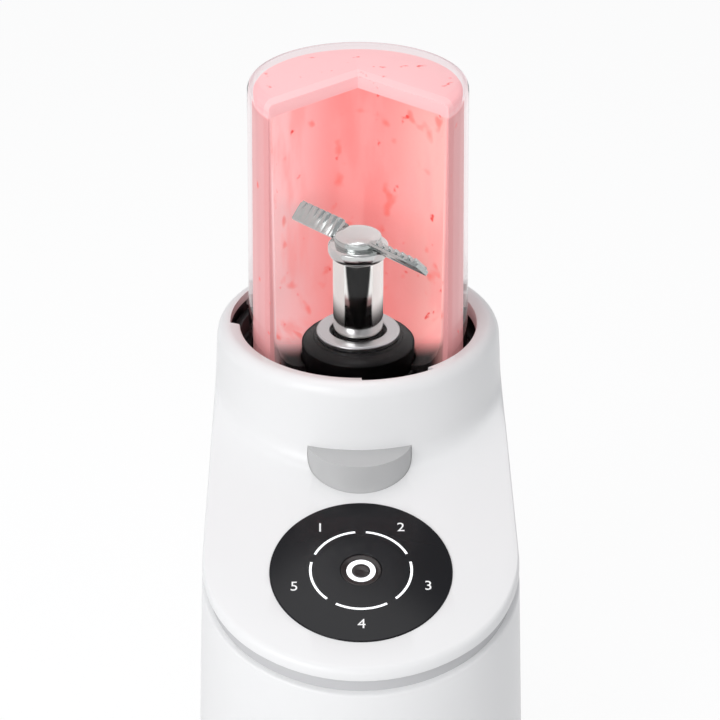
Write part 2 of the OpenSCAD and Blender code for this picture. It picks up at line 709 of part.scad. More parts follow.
module idler_pin() {
    color("silver") at_axis() translate([0, idler_y, 0]) rod(idler_pin_r, upper_plate_top - lower_plate_z, lower_plate_z);
}
motor_shaft_r = 4;
motor_base = upper_plate_top + 8;
stator_z = motor_base + 14;
motor_top = stator_z + stator_h + 26;
module motor_pinion() {
    color("#c9a24a") at_axis() translate([0, motor_y, gear_z]) rotate([0, 0, 180 / pinion_teeth])
        gear_wheel(pinion_teeth, drive_module, gear_w, motor_shaft_r);
}
module motor_shaft() {
    color("silver") at_axis() translate([0, motor_y, 0]) rod(motor_shaft_r, motor_top + 16 - gear_z + 2, gear_z - 2);
}
rotor_r = 20.4;
coil_slot_r = 6;
winding_r = 16;
winding_h = 7;
commutator_r = 11;
commutator_h = 14;
module motor_stator() {
    color("#8f9296") at_axis() translate([0, motor_y, stator_z]) difference() {
        cylinder(h = stator_h, r = motor_r, $fn = 96);
        translate([0, 0, -1]) cylinder(h = stator_h + 2, r = rotor_r + 0.6, $fn = 96);
        for (a = [0, 180]) rotate([0, 0, a]) for (s = [-1, 1]) rotate([0, 0, s * 42])
            translate([0, rotor_r + 5.1, -1]) cylinder(h = stator_h + 2, r = coil_slot_r, $fn = 48);
    }
}
module motor_rotor() {
    color("#b87333") at_axis() translate([0, motor_y, 0]) {
        difference() {
            tube(rotor_r, motor_shaft_r, stator_h, stator_z);
            for (i = [0 : 11]) rotate([0, 0, i * 30])
                translate([rotor_r - 6.4, -1.2, stator_z - 1]) cube([8, 2.4, stator_h + 2]);
        }
        tube(winding_r, motor_shaft_r, winding_h, stator_z + stator_h);
        tube(winding_r, motor_shaft_r, winding_h, stator_z - winding_h);
        tube(commutator_r, motor_shaft_r, commutator_h, stator_z + stator_h + winding_h + 1);
    }
}
frame_t = 4;
leg_r = 5;
module motor_frame() {
    color("#3a3b3d") at_axis() translate([0, motor_y, 0]) difference() {
        union() {
            tube(motor_r, motor_shaft_r + run_fit, frame_t, motor_base);
            tube(motor_r, motor_shaft_r + run_fit, frame_t, motor_top);
            for (a = [45 : 90 : 315]) rotate([0, 0, a]) translate([motor_r - leg_r - 0.6, 0, 0]) {
                rod(leg_r, stator_z - upper_plate_top, upper_plate_top);
                rod(leg_r, motor_top + frame_t - stator_z - stator_h, stator_z + stator_h);
            }
        }
        for (a = [0 : 45 : 315]) rotate([0, 0, a + 22.5]) translate([motor_r - 16, 0, motor_base - 1])
            rod(leg_r, motor_top - motor_base + 20);
    }
}
brush_len = 18;
brush_w = 9;
module motor_brushes() {
    color("#4b3621") at_axis() translate([0, motor_y, stator_z + stator_h + winding_h + 3]) difference() {
        for (s = [-1, 1]) translate([s * (commutator_r + 8) - brush_len / 2, -brush_w / 2, 0])
            cube([brush_len, brush_w, motor_top - stator_z - stator_h - winding_h - 3]);
        translate([0, 0, -1]) cylinder(h = 40, r = commutator_r + slide_gap, $fn = 64);
    }
}
fan_z = motor_top + 6;
fan_r = 30;
fan_t = 1.6;
fan_hub_r = 8;
fan_h = 9;
fan_blades = 11;
module cooling_fan() {
    color("#e8e8e6") at_axis() translate([0, motor_y, fan_z]) {
        tube(fan_r, motor_shaft_r, fan_t);
        tube(fan_hub_r, motor_shaft_r, fan_h);
        for (i = [0 : fan_blades - 1]) rotate([0, 0, i * 360 / fan_blades])
            translate([fan_hub_r + 1, -fan_t / 2, 1]) rotate([0, 0, 12]) cube([fan_r - fan_hub_r - 2, fan_t, fan_h - 1]);
    }
}

rod_spots = [[rod_x, rod_y], [-rod_x, rod_y]];
carriage_rim = 4;
spoke_r = 5;
spoke_h = 6;
nut_body_r = 7;
nut_flange_r = 9.5;
nut_flange_t = 3;
module spoke(to, r, h) {
    hull() { cylinder(h = h, r = r, $fn = 32); translate([to[0], to[1], 0]) cylinder(h = h, r = r, $fn = 32); }
}
module lift_carriage() {
    color("#d5d5d3") at_axis() translate([0, 0, carriage_z]) difference() {
        union() {
            cylinder(h = carriage_t, r = bearing_r + carriage_rim, $fn = 96);
            for (p = rod_spots) {
                spoke(p, spoke_r, spoke_h);
                translate([p[0], p[1], 0]) cylinder(h = carriage_t + 4, r = rod_r + 3.5, $fn = 64);
            }
            spoke([0, screw_y], spoke_r + 1, spoke_h);
            translate([0, screw_y, 0]) cylinder(h = carriage_t, r = nut_body_r + 3, $fn = 64);
        }
        translate([0, 0, bearing_z - carriage_z]) cylinder(h = 20, r = bearing_r + seat_gap, $fn = 96);
        translate([0, 0, -1]) cylinder(h = 20, r = collar_r, $fn = 96);
        for (p = rod_spots) translate([p[0], p[1], -1]) cylinder(h = 20, r = rod_r + run_fit, $fn = 64);
        translate([0, screw_y, -1]) cylinder(h = 20, r = nut_body_r + seat_gap, $fn = 64);
    }
}
module carriage_bearing() {
    color("silver") at_axis() tube(bearing_r, spindle_r + run_fit, bearing_h, bearing_z);
}
module lead_nut() {
    color("#c9a24a") at_axis() translate([0, screw_y, 0]) difference() {
        union() {
            rod(nut_body_r, carriage_t + 2, carriage_z);
            rod(nut_flange_r, nut_flange_t, carriage_z - nut_flange_t);
        }
        rod(screw_r + run_fit, 40, carriage_z - 10);
    }
}
module guide_rods() {
    color("silver") at_axis() for (p = rod_spots) translate([p[0], p[1], 0])
        rod(rod_r, bracket_z + plate_t - upper_plate_z, upper_plate_z);
}
module lift_screw() {
    color("#9fa1a3") at_axis() translate([0, screw_y, 0])
        rod(screw_r, lift_gear_z + lift_gear_w + 1 - upper_plate_z - 1, upper_plate_z + 1);
}
module screw_gear() {
    color("#e6e2d3") at_axis() translate([0, screw_y, lift_gear_z]) rotate([0, 0, lift_angle])
        gear_wheel(screw_teeth, lift_module, lift_gear_w, screw_r);
}
lift_shaft_r = 1.6;
lift_motor_r = 11;
lift_motor_h = 34;
lift_cap_r = 8;
lift_cap_h = 3;
module lift_pinion() {
    color("#c9a24a") at_axis() translate([lift_x, lift_y, 0]) {
        translate([0, 0, lift_gear_z]) rotate([0, 0, lift_angle + 180 + 180 / lift_teeth])
            gear_wheel(lift_teeth, lift_module, lift_gear_w, lift_shaft_r - 0.4);
        rod(lift_shaft_r, lift_gear_z + lift_gear_w - bracket_z + 6, bracket_z - 6);
    }
}
module lift_motor() {
    color("#8f9296") at_axis() translate([lift_x, lift_y, 0]) difference() {
        union() {
            rod(lift_motor_r, lift_motor_h, bracket_z - lift_motor_h);
            rod(lift_cap_r, lift_cap_h, bracket_z - lift_motor_h - lift_cap_h);
        }
        rod(lift_shaft_r + run_fit, 20, bracket_z - 6 - slide_gap);
    }
}
bracket_hub_r = 20;
module top_bracket() {
    color("#8f9296") at_axis() translate([0, 0, bracket_z]) difference() {
        union() {
            cylinder(h = plate_t, r = bracket_hub_r, $fn = 96);
            for (p = concat(rod_spots, [[0, screw_y]])) spoke(p, spoke_r + 3, plate_t);
            translate([lift_x, lift_y, 0]) cylinder(h = plate_t, r = lift_motor_r + 1, $fn = 64);
            translate([lift_x / 2, lift_y - 8, 0]) cylinder(h = plate_t, r = lift_motor_r + 1, $fn = 64);
        }
        translate([0, 0, -1]) cylinder(h = 20, r = collar_r, $fn = 96);
        for (p = rod_spots) translate([p[0], p[1], -1]) cylinder(h = 20, r = rod_r + seat_gap, $fn = 64);
        translate([0, screw_y, -1]) cylinder(h = 20, r = screw_r + run_fit, $fn = 64);
        translate([lift_x, lift_y, -1]) cylinder(h = 20, r = lift_shaft_r + 0.8, $fn = 48);
    }
}

// ---- Gear case ----
post_foot_r = 5;
post_pin_r = 3;
ball_race = 4;
idler_pin_r = 4;
module plate_2d() {
    hull() {
        for (p = post_spots) translate(p) circle(r = post_foot_r + 2, $fn = 32);
        translate([0, screw_y]) circle(r = nut_body_r + 3, $fn = 32);
    }
}
module lower_gear_plate() {
    color("#8f9296") at_axis() difference() {
        translate([0, 0, lower_plate_z]) linear_extrude(plate_t) plate_2d();
        rod(shaft_r + ball_race, 60, 0);
        translate([0, idler_y, 0]) rod(idler_pin_r + seat_gap, 60);
        for (p = post_spots) translate([p[0], p[1], 0]) rod(post_pin_r + seat_gap, 60);
    }
}
module upper_gear_plate() {
    color("#8f9296") at_axis() difference() {
        translate([0, 0, upper_plate_z]) linear_extrude(plate_t) plate_2d();
        rod(shaft_r + ball_race, 90, 0);
        translate([0, idler_y, 0]) rod(idler_pin_r + seat_gap, 90);
        translate([0, motor_y, 0]) rod(motor_shaft_r + 2, 90);
        for (p = post_spots) translate([p[0], p[1], 0]) rod(post_pin_r + seat_gap, 90);
        for (p = rod_spots) translate([p[0], p[1], 0]) rod(rod_r + seat_gap, 90);
        translate([0, screw_y, upper_plate_z + 1 - slide_gap]) cylinder(h = 20, r = screw_r + run_fit, $fn = 64);
    }
}
module gear_posts() {
    color("silver") at_axis() for (p = post_spots) translate([p[0], p[1], 0]) {
        rod(post_foot_r, lower_plate_z - floor_z - plate_t, floor_z + plate_t);
        rod(post_pin_r, upper_plate_top - floor_z - plate_t, floor_z + plate_t);
        rod(post_foot_r, upper_plate_z - lower_plate_z - plate_t, lower_plate_z + plate_t);
    }
}
module shaft_bearings() {
    color("silver") at_axis() {
        tube(shaft_r + ball_race - seat_gap, shaft_r + run_fit, plate_t, lower_plate_z);
        tube(shaft_r + ball_race - seat_gap, shaft_r + run_fit, plate_t, upper_plate_z);
    }
}

// ---- Controls ----
board_r = panel_r - 5.8;
board_t = 1.6;
lamp_w = 4;
module control_panel() {
    color("#1d1d1f") on_deck() difference() {
        union() {
            rotate_extrude($fn = 144) polygon([
                [0, panel_proud - panel_t], [panel_r, panel_proud - panel_t], [panel_r, panel_proud - 0.3],
                [panel_r - 0.3, panel_proud], [0, panel_proud]
            ]);
            for (a = [30 : 120 : 270]) rotate([0, 0, a]) translate([board_r - 3, 0, -board_drop])
                cylinder(h = board_drop - 1, r = 2.4, $fn = 32);
        }
        for (i = [0 : 4]) rotate([0, 0, 54 + 72 * i]) rotate([0, 0, -(72 - arc_gap) / 2])
            rotate_extrude(angle = 72 - arc_gap, $fn = 144)
                translate([arc_r - arc_w / 2 - seat_gap, -5]) square([arc_w + 2 * seat_gap, 10]);
        translate([0, 0, -4]) cylinder(h = 8, r = start_r + 0.2, $fn = 96);
    }
}
module light_arcs() {
    color("white") on_deck() for (i = [0 : 4]) rotate([0, 0, 54 + 72 * i]) rotate([0, 0, -(72 - arc_gap) / 2 + 0.2])
        rotate_extrude(angle = 72 - arc_gap - 0.4, $fn = 144)
            translate([arc_r - arc_w / 2, panel_proud - panel_t]) square([arc_w, panel_t + 0.05]);
}
module control_board() {
    color("#2f6b3c") on_deck() translate([0, 0, -board_drop - board_t]) {
        cylinder(h = board_t, r = board_r, $fn = 96);
        translate([-24, 6, -2.4]) cube([12, 12, 2.6]);
        translate([8, -20, -6]) cube([14, 7, 6.2]);
        for (i = [0 : 4]) rotate([0, 0, 54 + 72 * i]) translate([arc_r - lamp_w / 2, -lamp_w / 2, board_t - 0.2])
            cube([lamp_w, lamp_w, 2.2]);
    }
}
key_w = 7;
key_h = 4;
module start_switch() {
    color("#303034") on_deck() translate([0, 0, -board_drop]) {
        translate([-key_w / 2, -key_w / 2, 0]) cube([key_w, key_w, key_h - 1]);
        cylinder(h = key_h, r = 1.7, $fn = 48);
    }
}
dish_r = start_r - 0.6;
dish_depth = 0.7;
dish_ball = (dish_r * dish_r + dish_depth * dish_depth) / 2 / dish_depth;
ring_out = 5.9;
ring_in = 3.8;
module start_button() {
    color("#151517") on_deck() difference() {
        union() {
            translate([0, 0, -2.5]) cylinder(h = 2.5 + panel_proud - 0.2, r = start_r, $fn = 96);
            translate([0, 0, -3]) cylinder(h = 3 + panel_proud - panel_t - slide_gap, r = start_r + 1.2, $fn = 96);
            translate([0, 0, start_travel + seat_gap - board_drop + key_h]) cylinder(h = 1, r = 3, $fn = 48);
        }
        translate([0, 0, panel_proud - 0.2 - dish_depth + dish_ball]) sphere(r = dish_ball, $fn = 200);
        tube(ring_out + 0.02, ring_in - 0.02, 4, -1.2);
    }
}
module start_ring() {
    color("white") on_deck() tube(ring_out, ring_in, 1.1, -1.2);
}

// ---- Release button ----
module release_button() {
    color("#bdbdbd") at_axis() difference() {
        union() {
            difference() {
                release_cone(release_skirt, release_top, 0);
                translate([0, -release_y, release_skirt - 1])
                    cylinder(h = release_top - release_t - release_skirt + 1, r = release_r - release_wall, $fn = 96);
            }
            translate([0, -release_y - boss_y, release_skirt + 1]) rod(3, release_top - 1 - release_skirt - 1);
            translate([-tongue_w / 2, -release_y - 8, tongue_z]) {
                cube([tongue_w, 18, tongue_h]);
                cube([tongue_w, 4, release_top - 1 - tongue_z]);
            }
        }
        difference() {
            rod(liner_r + 0.6, 100, release_skirt - 20);
            translate([-tongue_w / 2, -release_y - 20, tongue_z]) cube([tongue_w, 21.6, tongue_h]);
        }
    }
}
spring_r = 5;
bracket_w = 18;
module release_spring() {
    color("silver") at_axis() translate([0, -release_y - boss_y, spring_z])
        tube(spring_r, spring_r - 1.4, release_top - release_t - spring_z);
}
module spring_bracket() {
    color("#e4e4e2") at_axis() {
        translate([-bracket_w / 2, -release_y - 22, spring_z - plate_t]) cube([bracket_w, 20, plate_t]);
        translate([-bracket_w / 2, -release_y - 2, spring_z - plate_t])
            cube([bracket_w, plate_t, liner_floor - spring_z + plate_t]);
    }
}

// ---- Electrics ----
power_len = 60;
power_h = 80;
power_x = rim_r - 4.1;
power_y = 68;
part_y = 8;
cap_y = 42;
part_z = power_h / 2;
sink_z = 60;
module power_board() {
    color("#2f6b3c") at_axis() translate([-power_x, -power_y, floor_z + plate_t]) {
        cube([board_t, power_len, power_h]);
        translate([board_t - 0.2, 0, 0]) {
            translate([0, part_y, part_z]) cube([10, 18, 14]);
            translate([0, cap_y, part_z + 6]) rotate([0, 90, 0]) cylinder(h = 12, r = 7, $fn = 48);
            translate([0, cap_y, sink_z + 6]) rotate([0, 90, 0]) cylinder(h = 12, r = 5, $fn = 48);
            translate([0, part_y, sink_z]) cube([6, 24, 12]);
        }
    }
}
cord_r = 3.6;
module cord_gland() {
    color("#222224") at_axis() translate([0, 0, gland_z]) {
        inner_y = rim_r + grow(gland_z) - wall;
        translate([0, inner_y + wall + 0.4 - 1, 0]) rotate([90, 0, 0]) difference() {
            union() {
                translate([0, 0, -0.5]) cylinder(h = wall + 4, r = gland_r, $fn = 64);
                translate([0, 0, wall + 0.6]) cylinder(h = 3, r = gland_r + 2.2, $fn = 64);
            }
            translate([0, 0, -5]) cylinder(h = 20, r = cord_r, $fn = 64);
        }
    }
}
module jar_switch() {
    color("#303034") at_axis() translate([switch_spot[0], switch_spot[1], 0]) {
        translate([-switch_len / 2, -switch_w / 2, liner_floor - switch_w]) cube([switch_len, switch_w, switch_w]);
        rod(switch_pin_r, liner_floor_t, liner_floor);
    }
}

lower_housing();
upper_housing();
seam_ring();
base_plate();
rubber_feet();
base_screws();
socket_liner();
control_panel();
light_arcs();
control_board();
start_switch();
start_button();
start_ring();
release_button();
release_spring();
spring_bracket();
lower_gear_plate();
upper_gear_plate();
gear_posts();
shaft_bearings();
idler_pin();
output_gear();
drive_shaft();
idler_gear();
motor_pinion();
motor_shaft();
motor_rotor();
motor_stator();
motor_frame();
motor_brushes();
cooling_fan();
spindle();
spindle_collar();
lift_carriage();
carriage_bearing();
lead_nut();
guide_rods();
lift_screw();
screw_gear();
lift_pinion();
lift_motor();
top_bracket();
power_board();
cord_gland();
jar_switch();
lock_ring();
jar();
blade_cap();
cap_gasket();
hub_flange();
seal_bush();
blade_post();
post_cap();
blade();
blade_nut();
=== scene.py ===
import json
import math
import bmesh
import bpy
from mathutils import Matrix, Vector

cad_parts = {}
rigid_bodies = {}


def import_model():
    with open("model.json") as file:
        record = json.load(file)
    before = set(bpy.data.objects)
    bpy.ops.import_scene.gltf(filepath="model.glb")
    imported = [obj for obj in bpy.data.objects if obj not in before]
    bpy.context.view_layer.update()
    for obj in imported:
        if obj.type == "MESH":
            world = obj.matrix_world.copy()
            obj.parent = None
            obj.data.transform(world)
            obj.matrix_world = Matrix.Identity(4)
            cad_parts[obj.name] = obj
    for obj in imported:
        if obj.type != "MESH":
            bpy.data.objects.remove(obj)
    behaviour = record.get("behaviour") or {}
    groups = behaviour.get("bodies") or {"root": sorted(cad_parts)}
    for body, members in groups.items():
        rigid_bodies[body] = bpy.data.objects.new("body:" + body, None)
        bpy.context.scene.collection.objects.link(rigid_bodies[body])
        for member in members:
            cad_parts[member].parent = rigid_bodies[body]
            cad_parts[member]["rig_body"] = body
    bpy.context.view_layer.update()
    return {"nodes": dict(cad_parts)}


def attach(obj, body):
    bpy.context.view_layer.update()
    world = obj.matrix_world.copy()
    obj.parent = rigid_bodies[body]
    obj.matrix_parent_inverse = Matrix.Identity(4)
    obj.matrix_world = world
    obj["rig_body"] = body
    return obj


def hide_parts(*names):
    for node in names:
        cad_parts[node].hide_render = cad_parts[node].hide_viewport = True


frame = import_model()
mm = 0.001
axisY = 52.05  # how far the jar's axis stands behind the frame's zero
deckTilt = math.radians(14.4)

# lengths are in millimetres, heights count from the table, x and y from the jar's axis
body = {
    "rim": 250.0, "rimR": 62.1, "lipT": 6.0, "lipEdgeT": 2.4, "linerIn": 57.57,
    "lean": math.tan(math.radians(2.6)), "frontReach": 166.2, "frontR": 67.0, "cornerR": 55.0,
    "slope": math.tan(deckTilt), "deckZ": 198.9, "panelY": 119.4, "blend": 7.0, "edge": 2.6,
    "coverLip": 4.8, "seam": 6.5, "seamDepth": 2.4, "seamT": 1.2, "wall": 3.0, "ground": 4.0,
    "softDrop": 6.0, "softLen": 18.0,  # the deck's edge is softer where the collar meets it
    "steps": {"back": 72, "side": 14, "corner": 26, "front": 18},
}
seamTop = body["coverLip"] + body["seam"]


# a station is [centre x, centre y, radius at the rim, direction], on the same arcs as the frame
def stationList(back, side, corner, front):
    frontY = body["frontR"] - body["frontReach"]
    cornerX = body["rimR"] - body["cornerR"]
    gap = body["frontR"] - body["cornerR"]
    cornerAngle = math.degrees(math.asin(cornerX / gap))
    cornerY = frontY - gap * math.cos(math.radians(cornerAngle))
    turn = 90 - cornerAngle
    rows = [(0, 0, body["rimR"], 180 * i / back) for i in range(back + 1)]
    rows += [(0, cornerY * i / side, body["rimR"], 180) for i in range(1, side)]
    rows += [(-cornerX, cornerY, body["cornerR"], 180 + turn * i / corner) for i in range(corner + 1)]
    rows += [(0, frontY, body["frontR"], 180 + turn + 2 * cornerAngle * i / front) for i in range(1, front)]
    rows += [(cornerX, cornerY, body["cornerR"], 360 - turn * (1 - i / corner)) for i in range(corner + 1)]
    rows += [(0, cornerY * (1 - i / side), body["rimR"], 360) for i in range(1, side)]
    return rows


stations = stationList(**body["steps"])
backSteps = body["steps"]["back"]


def grow(z):
    return body["lean"] * (body["rim"] - z)


def outPoint(station, z, inset):
    cx, cy, radius, angle = station
    reach = radius + grow(z) - inset
    turn = math.radians(angle)
    return Vector((cx + reach * math.cos(turn), cy + reach * math.sin(turn), z))


def deckAt(y):
    return body["deckZ"] + body["slope"] * (y + body["panelY"])


# height of the plane that lies the given drop below the deck
def planeZ(station, inset, drop):
    rise = body["slope"] * body["lean"] * math.sin(math.radians(station[3]))
    return (deckAt(outPoint(station, 0, inset).y) - drop) / (1 + rise)


def planePoint(station, inset, drop):
    return outPoint(station, planeZ(station, inset, drop), inset)


def columnPoint(angle, z, inset=0.0):
    reach = body["rimR"] + grow(z) - inset
    turn = math.radians(angle)
    return Vector((reach * math.cos(turn), reach * math.sin(turn), z))


def bend(a, k, b, t):
    return a * (1 - t) ** 2 + k * (2 * t * (1 - t)) + b * t * t


coverShape = {
    "crest": [(0, -4.2), (0.12, -3.6), (0.3, -2.8), (0.65, -1.9), (1.2, -0.9), (1.9, -0.05), (2.7, 0.6),
              (3.6, 1.1), (4.6, 1.4), (5.6, 1.4), (6.6, 1.2), (8.2, 0.82), (9.3, 0.52), (9.75, 0.3), (9.97, -0.1)],
    "hem": ((0.5, 0), (0.15, 0.12), (0, 0.5)),  # rise and inset round the lower edge
    "inset": 2.75, "footInset": 2.8, "deckT": 3, "columnTop": 5,
}


# from the collar over the deck and its rounded edge down to the cover's hem
def frontProfile(angle, station):
    guess = columnPoint(angle, body["deckZ"])
    base = columnPoint(angle, deckAt(guess.y))
    end = planePoint(station, 0, 0)
    flat = (end.xy - base.xy).length
    drop = body["softDrop"] * (1 - min(1, flat / body["softLen"]))
    foot = columnPoint(angle, base.z + drop / 2)
    edge = outPoint(station, end.z - drop / 2, 0)
    top = columnPoint(angle, foot.z + body["blend"])
    run = (edge - foot).length
    inner = foot.lerp(edge, min(body["blend"], 0.4 * run) / run)
    outer = edge.lerp(foot, min(body["edge"], 0.4 * run) / run)
    low = end.z - body["coverLip"]
    side = outPoint(station, edge.z * 0.4 + low * 0.6, 0)
    points = [bend(top, foot, inner, j / 10) for j in range(11)]
    points += [inner.lerp(outer, j / 7) for j in range(1, 7)]
    points += [bend(outer, edge, side, j / 8) for j in range(9)]
    points += [outPoint(station, low + up, inset) for up, inset in coverShape["hem"]]
    return points


sideProfile = frontProfile(180, stations[backSteps])


# straight down the back, with as many points as a front profile
def backProfile(station):
    low = planeZ(station, 0, body["coverLip"])
    sideLow = sideProfile[-1].z
    columnTop = body["rim"] - coverShape["columnTop"]
    hem = [inset for up, inset in coverShape["hem"]]
    points = []
    for point, inset in zip(sideProfile, [0] * (len(sideProfile) - len(hem)) + hem):
        share = (columnTop - point.z) / (columnTop - sideLow)
        points.append(outPoint(station, columnTop * (1 - share) + low * share, inset))
    return points


# the direction on the collar that belongs to a station of the deck
def collarAngle(i):
    station = stations[i]
    even = 180 + 180 * (i - backSteps) / (len(stations) - backSteps)
    spot = outPoint(station, body["deckZ"], 0)
    aim = math.degrees(math.atan2(spot.y, spot.x))
    return (even + (aim + 360 if aim <= 0.001 else aim)) / 2


def coverColumn(i, station):
    onBack = i <= backSteps
    angle = station[3] if onBack else collarAngle(i)
    profile = backProfile(station) if onBack else frontProfile(angle, station)
    turn, low, inset = math.radians(angle), profile[-1].z, coverShape["inset"]
    hollowTop = body["rim"] - body["lipEdgeT"]
    mouth = body["rimR"] - body["linerIn"]
    crest = coverShape["crest"] + [(coverShape["crest"][-1][0], -body["lipT"]), (mouth, -body["lipT"]),
                                   (mouth, -body["lipEdgeT"])]
    points = profile[::-1]
    for cut, up in crest:
        reach = body["rimR"] - cut
        points.append(Vector((reach * math.cos(turn), reach * math.sin(turn), body["rim"] + up)))
    points.append(columnPoint(angle, hollowTop, inset))
    if onBack:
        points += [columnPoint(angle, hollowTop * (1 - t) + low * t, inset) for t in (0.33, 0.66)]
    else:
        deckT = coverShape["deckT"]
        points.append(columnPoint(angle, deckAt(columnPoint(angle, body["deckZ"]).y) - deckT, inset))
        points.append(planePoint(station, deckT, deckT))
    points.append(outPoint(station, low, coverShape["footInset"]))
    return points


# mesh helpers
def place(point):
    return Vector((point[0] * mm, (point[1] + axisY) * mm, point[2] * mm))


def linked(name, data):
    made = bpy.data.objects.new(name, data)
    bpy.context.scene.collection.objects.link(made)
    return made


def meshFrom(name, bm):
    bmesh.ops.recalc_face_normals(bm, faces=bm.faces)
    mesh = bpy.data.meshes.new(name)
    bm.to_mesh(mesh)
    bm.free()
    return linked(name, mesh)


# shades and paints a piece, lets it ride with its body and hides the nodes that it stands for
def finishPiece(made, rider, material, stands=(), angle=35):
    made.data.shade_smooth()
    made.data.set_sharp_from_angle(angle=math.radians(angle))
    made.data.materials.clear()
    made.data.materials.append(material)
    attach(made, rider)
    if stands:
        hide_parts(*stands)


def loopMesh(name, loops):
    bm = bmesh.new()
    rows = [[bm.verts.new(place(p)) for p in loop] for loop in loops]
    count = len(rows[0])
    for low, high in zip(rows, rows[1:] + rows[:1]):
        for i in range(count):
            k = (i + 1) % count
            bm.faces.new((low[i], low[k], high[k], high[i]))
    return meshFrom(name, bm)


def latheMesh(name, profile, steps):
    bm = bmesh.new()
    points = [bm.verts.new(place((radius, 0, z))) for radius, z in profile]
    edges = [bm.edges.new((low, high)) for low, high in zip(points, points[1:] + points[:1])]
    bmesh.ops.spin(bm, geom=points + edges, cent=place((0, 0, 0)), axis=(0, 0, 1), angle=2 * math.pi,
                   steps=steps, use_merge=True)
    bmesh.ops.remove_doubles(bm, verts=bm.verts, dist=1e-6)
    bmesh.ops.dissolve_degenerate(bm, edges=bm.edges, dist=1e-7)
    return meshFrom(name, bm)


# part of a ring, in degrees from the front and positive to the right
def sectorMesh(name, inner, outer, low, high, start, width, steps=24):
    bm = bmesh.new()
    turn = math.radians(start - 90)
    corners = [bm.verts.new(place((r * math.cos(turn), r * math.sin(turn), z)))
               for r, z in ((inner, low), (outer, low), (outer, high), (inner, high))]
    face = bm.faces.new(corners)
    bmesh.ops.spin(bm, geom=[face] + list(face.edges) + corners, cent=place((0, 0, 0)), axis=(0, 0, 1),
                   angle=math.radians(width), steps=steps)
    return meshFrom(name, bm)


deckMatrix = Matrix.Translation((0, (axisY - body["panelY"]) * mm, body["deckZ"] * mm))
deckMatrix = deckMatrix @ Matrix.Rotation(deckTilt, 4, "X")


# upright round at a spot, or square to the deck at the panel's centre
def discMesh(name, radius, low, high, at=(0, 0), steps=128, tilt=False, topRadius=None):
    bm = bmesh.new()
    bmesh.ops.create_cone(bm, cap_ends=True, segments=steps, radius1=radius * mm,
                          radius2=(topRadius or radius) * mm, depth=(high - low) * mm)
    bmesh.ops.translate(bm, verts=bm.verts, vec=(0, 0, (low + high) / 2 * mm))
    if tilt:
        bmesh.ops.transform(bm, verts=bm.verts, matrix=deckMatrix)
    else:
        bmesh.ops.translate(bm, verts=bm.verts, vec=(at[0] * mm, (at[1] + axisY) * mm, 0))
    return meshFrom(name, bm)


def boxMesh(name, low, high):
    bm = bmesh.new()
    bmesh.ops.create_cube(bm, size=1)
    for v in bm.verts:
        v.co = place([low[i] if v.co[i] < 0 else high[i] for i in range(3)])
    return meshFrom(name, bm)


def cutBy(made, cutters, bevel=0.3, bevelAngle=50, segments=2):
    for cutter in cutters:
        step = made.modifiers.new("cut", "BOOLEAN")
        step.operation, step.solver, step.object = "DIFFERENCE", "EXACT", cutter
    step = made.modifiers.new("edge", "BEVEL")
    step.width, step.segments, step.limit_method = bevel * mm, segments, "ANGLE"
    step.angle_limit, step.miter_outer = math.radians(bevelAngle), "MITER_ARC"
    graph = bpy.context.evaluated_depsgraph_get()
    baked = bpy.data.meshes.new_from_object(made.evaluated_get(graph))
    made.modifiers.clear()
    old = made.data
    made.data = baked
    bpy.data.meshes.remove(old)
    for cutter in cutters:
        bpy.data.objects.remove(cutter)


# a node's own mesh with its facets joined and its sharp edges broken
def dressed(node, material, bevel, angle=35):
    source = frame["nodes"][node]
    bm = bmesh.new()
    bm.from_mesh(source.data)
    bmesh.ops.remove_doubles(bm, verts=bm.verts, dist=2e-6)
    bmesh.ops.dissolve_limit(bm, angle_limit=math.radians(0.5), use_dissolve_boundaries=False, verts=bm.verts,
                             edges=bm.edges, delimit=set())
    if bevel:
        sharp = [e for e in bm.edges if len(e.link_faces) == 2 and e.calc_face_angle(0) > math.radians(angle)]
        bmesh.ops.bevel(bm, geom=sharp, offset=bevel * mm, offset_type="OFFSET", affect="EDGES", segments=2,
                        profile=0.5, material=-1, clamp_overlap=True)
    finishPiece(meshFrom(node + "Skin", bm), source["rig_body"], material, (node,))


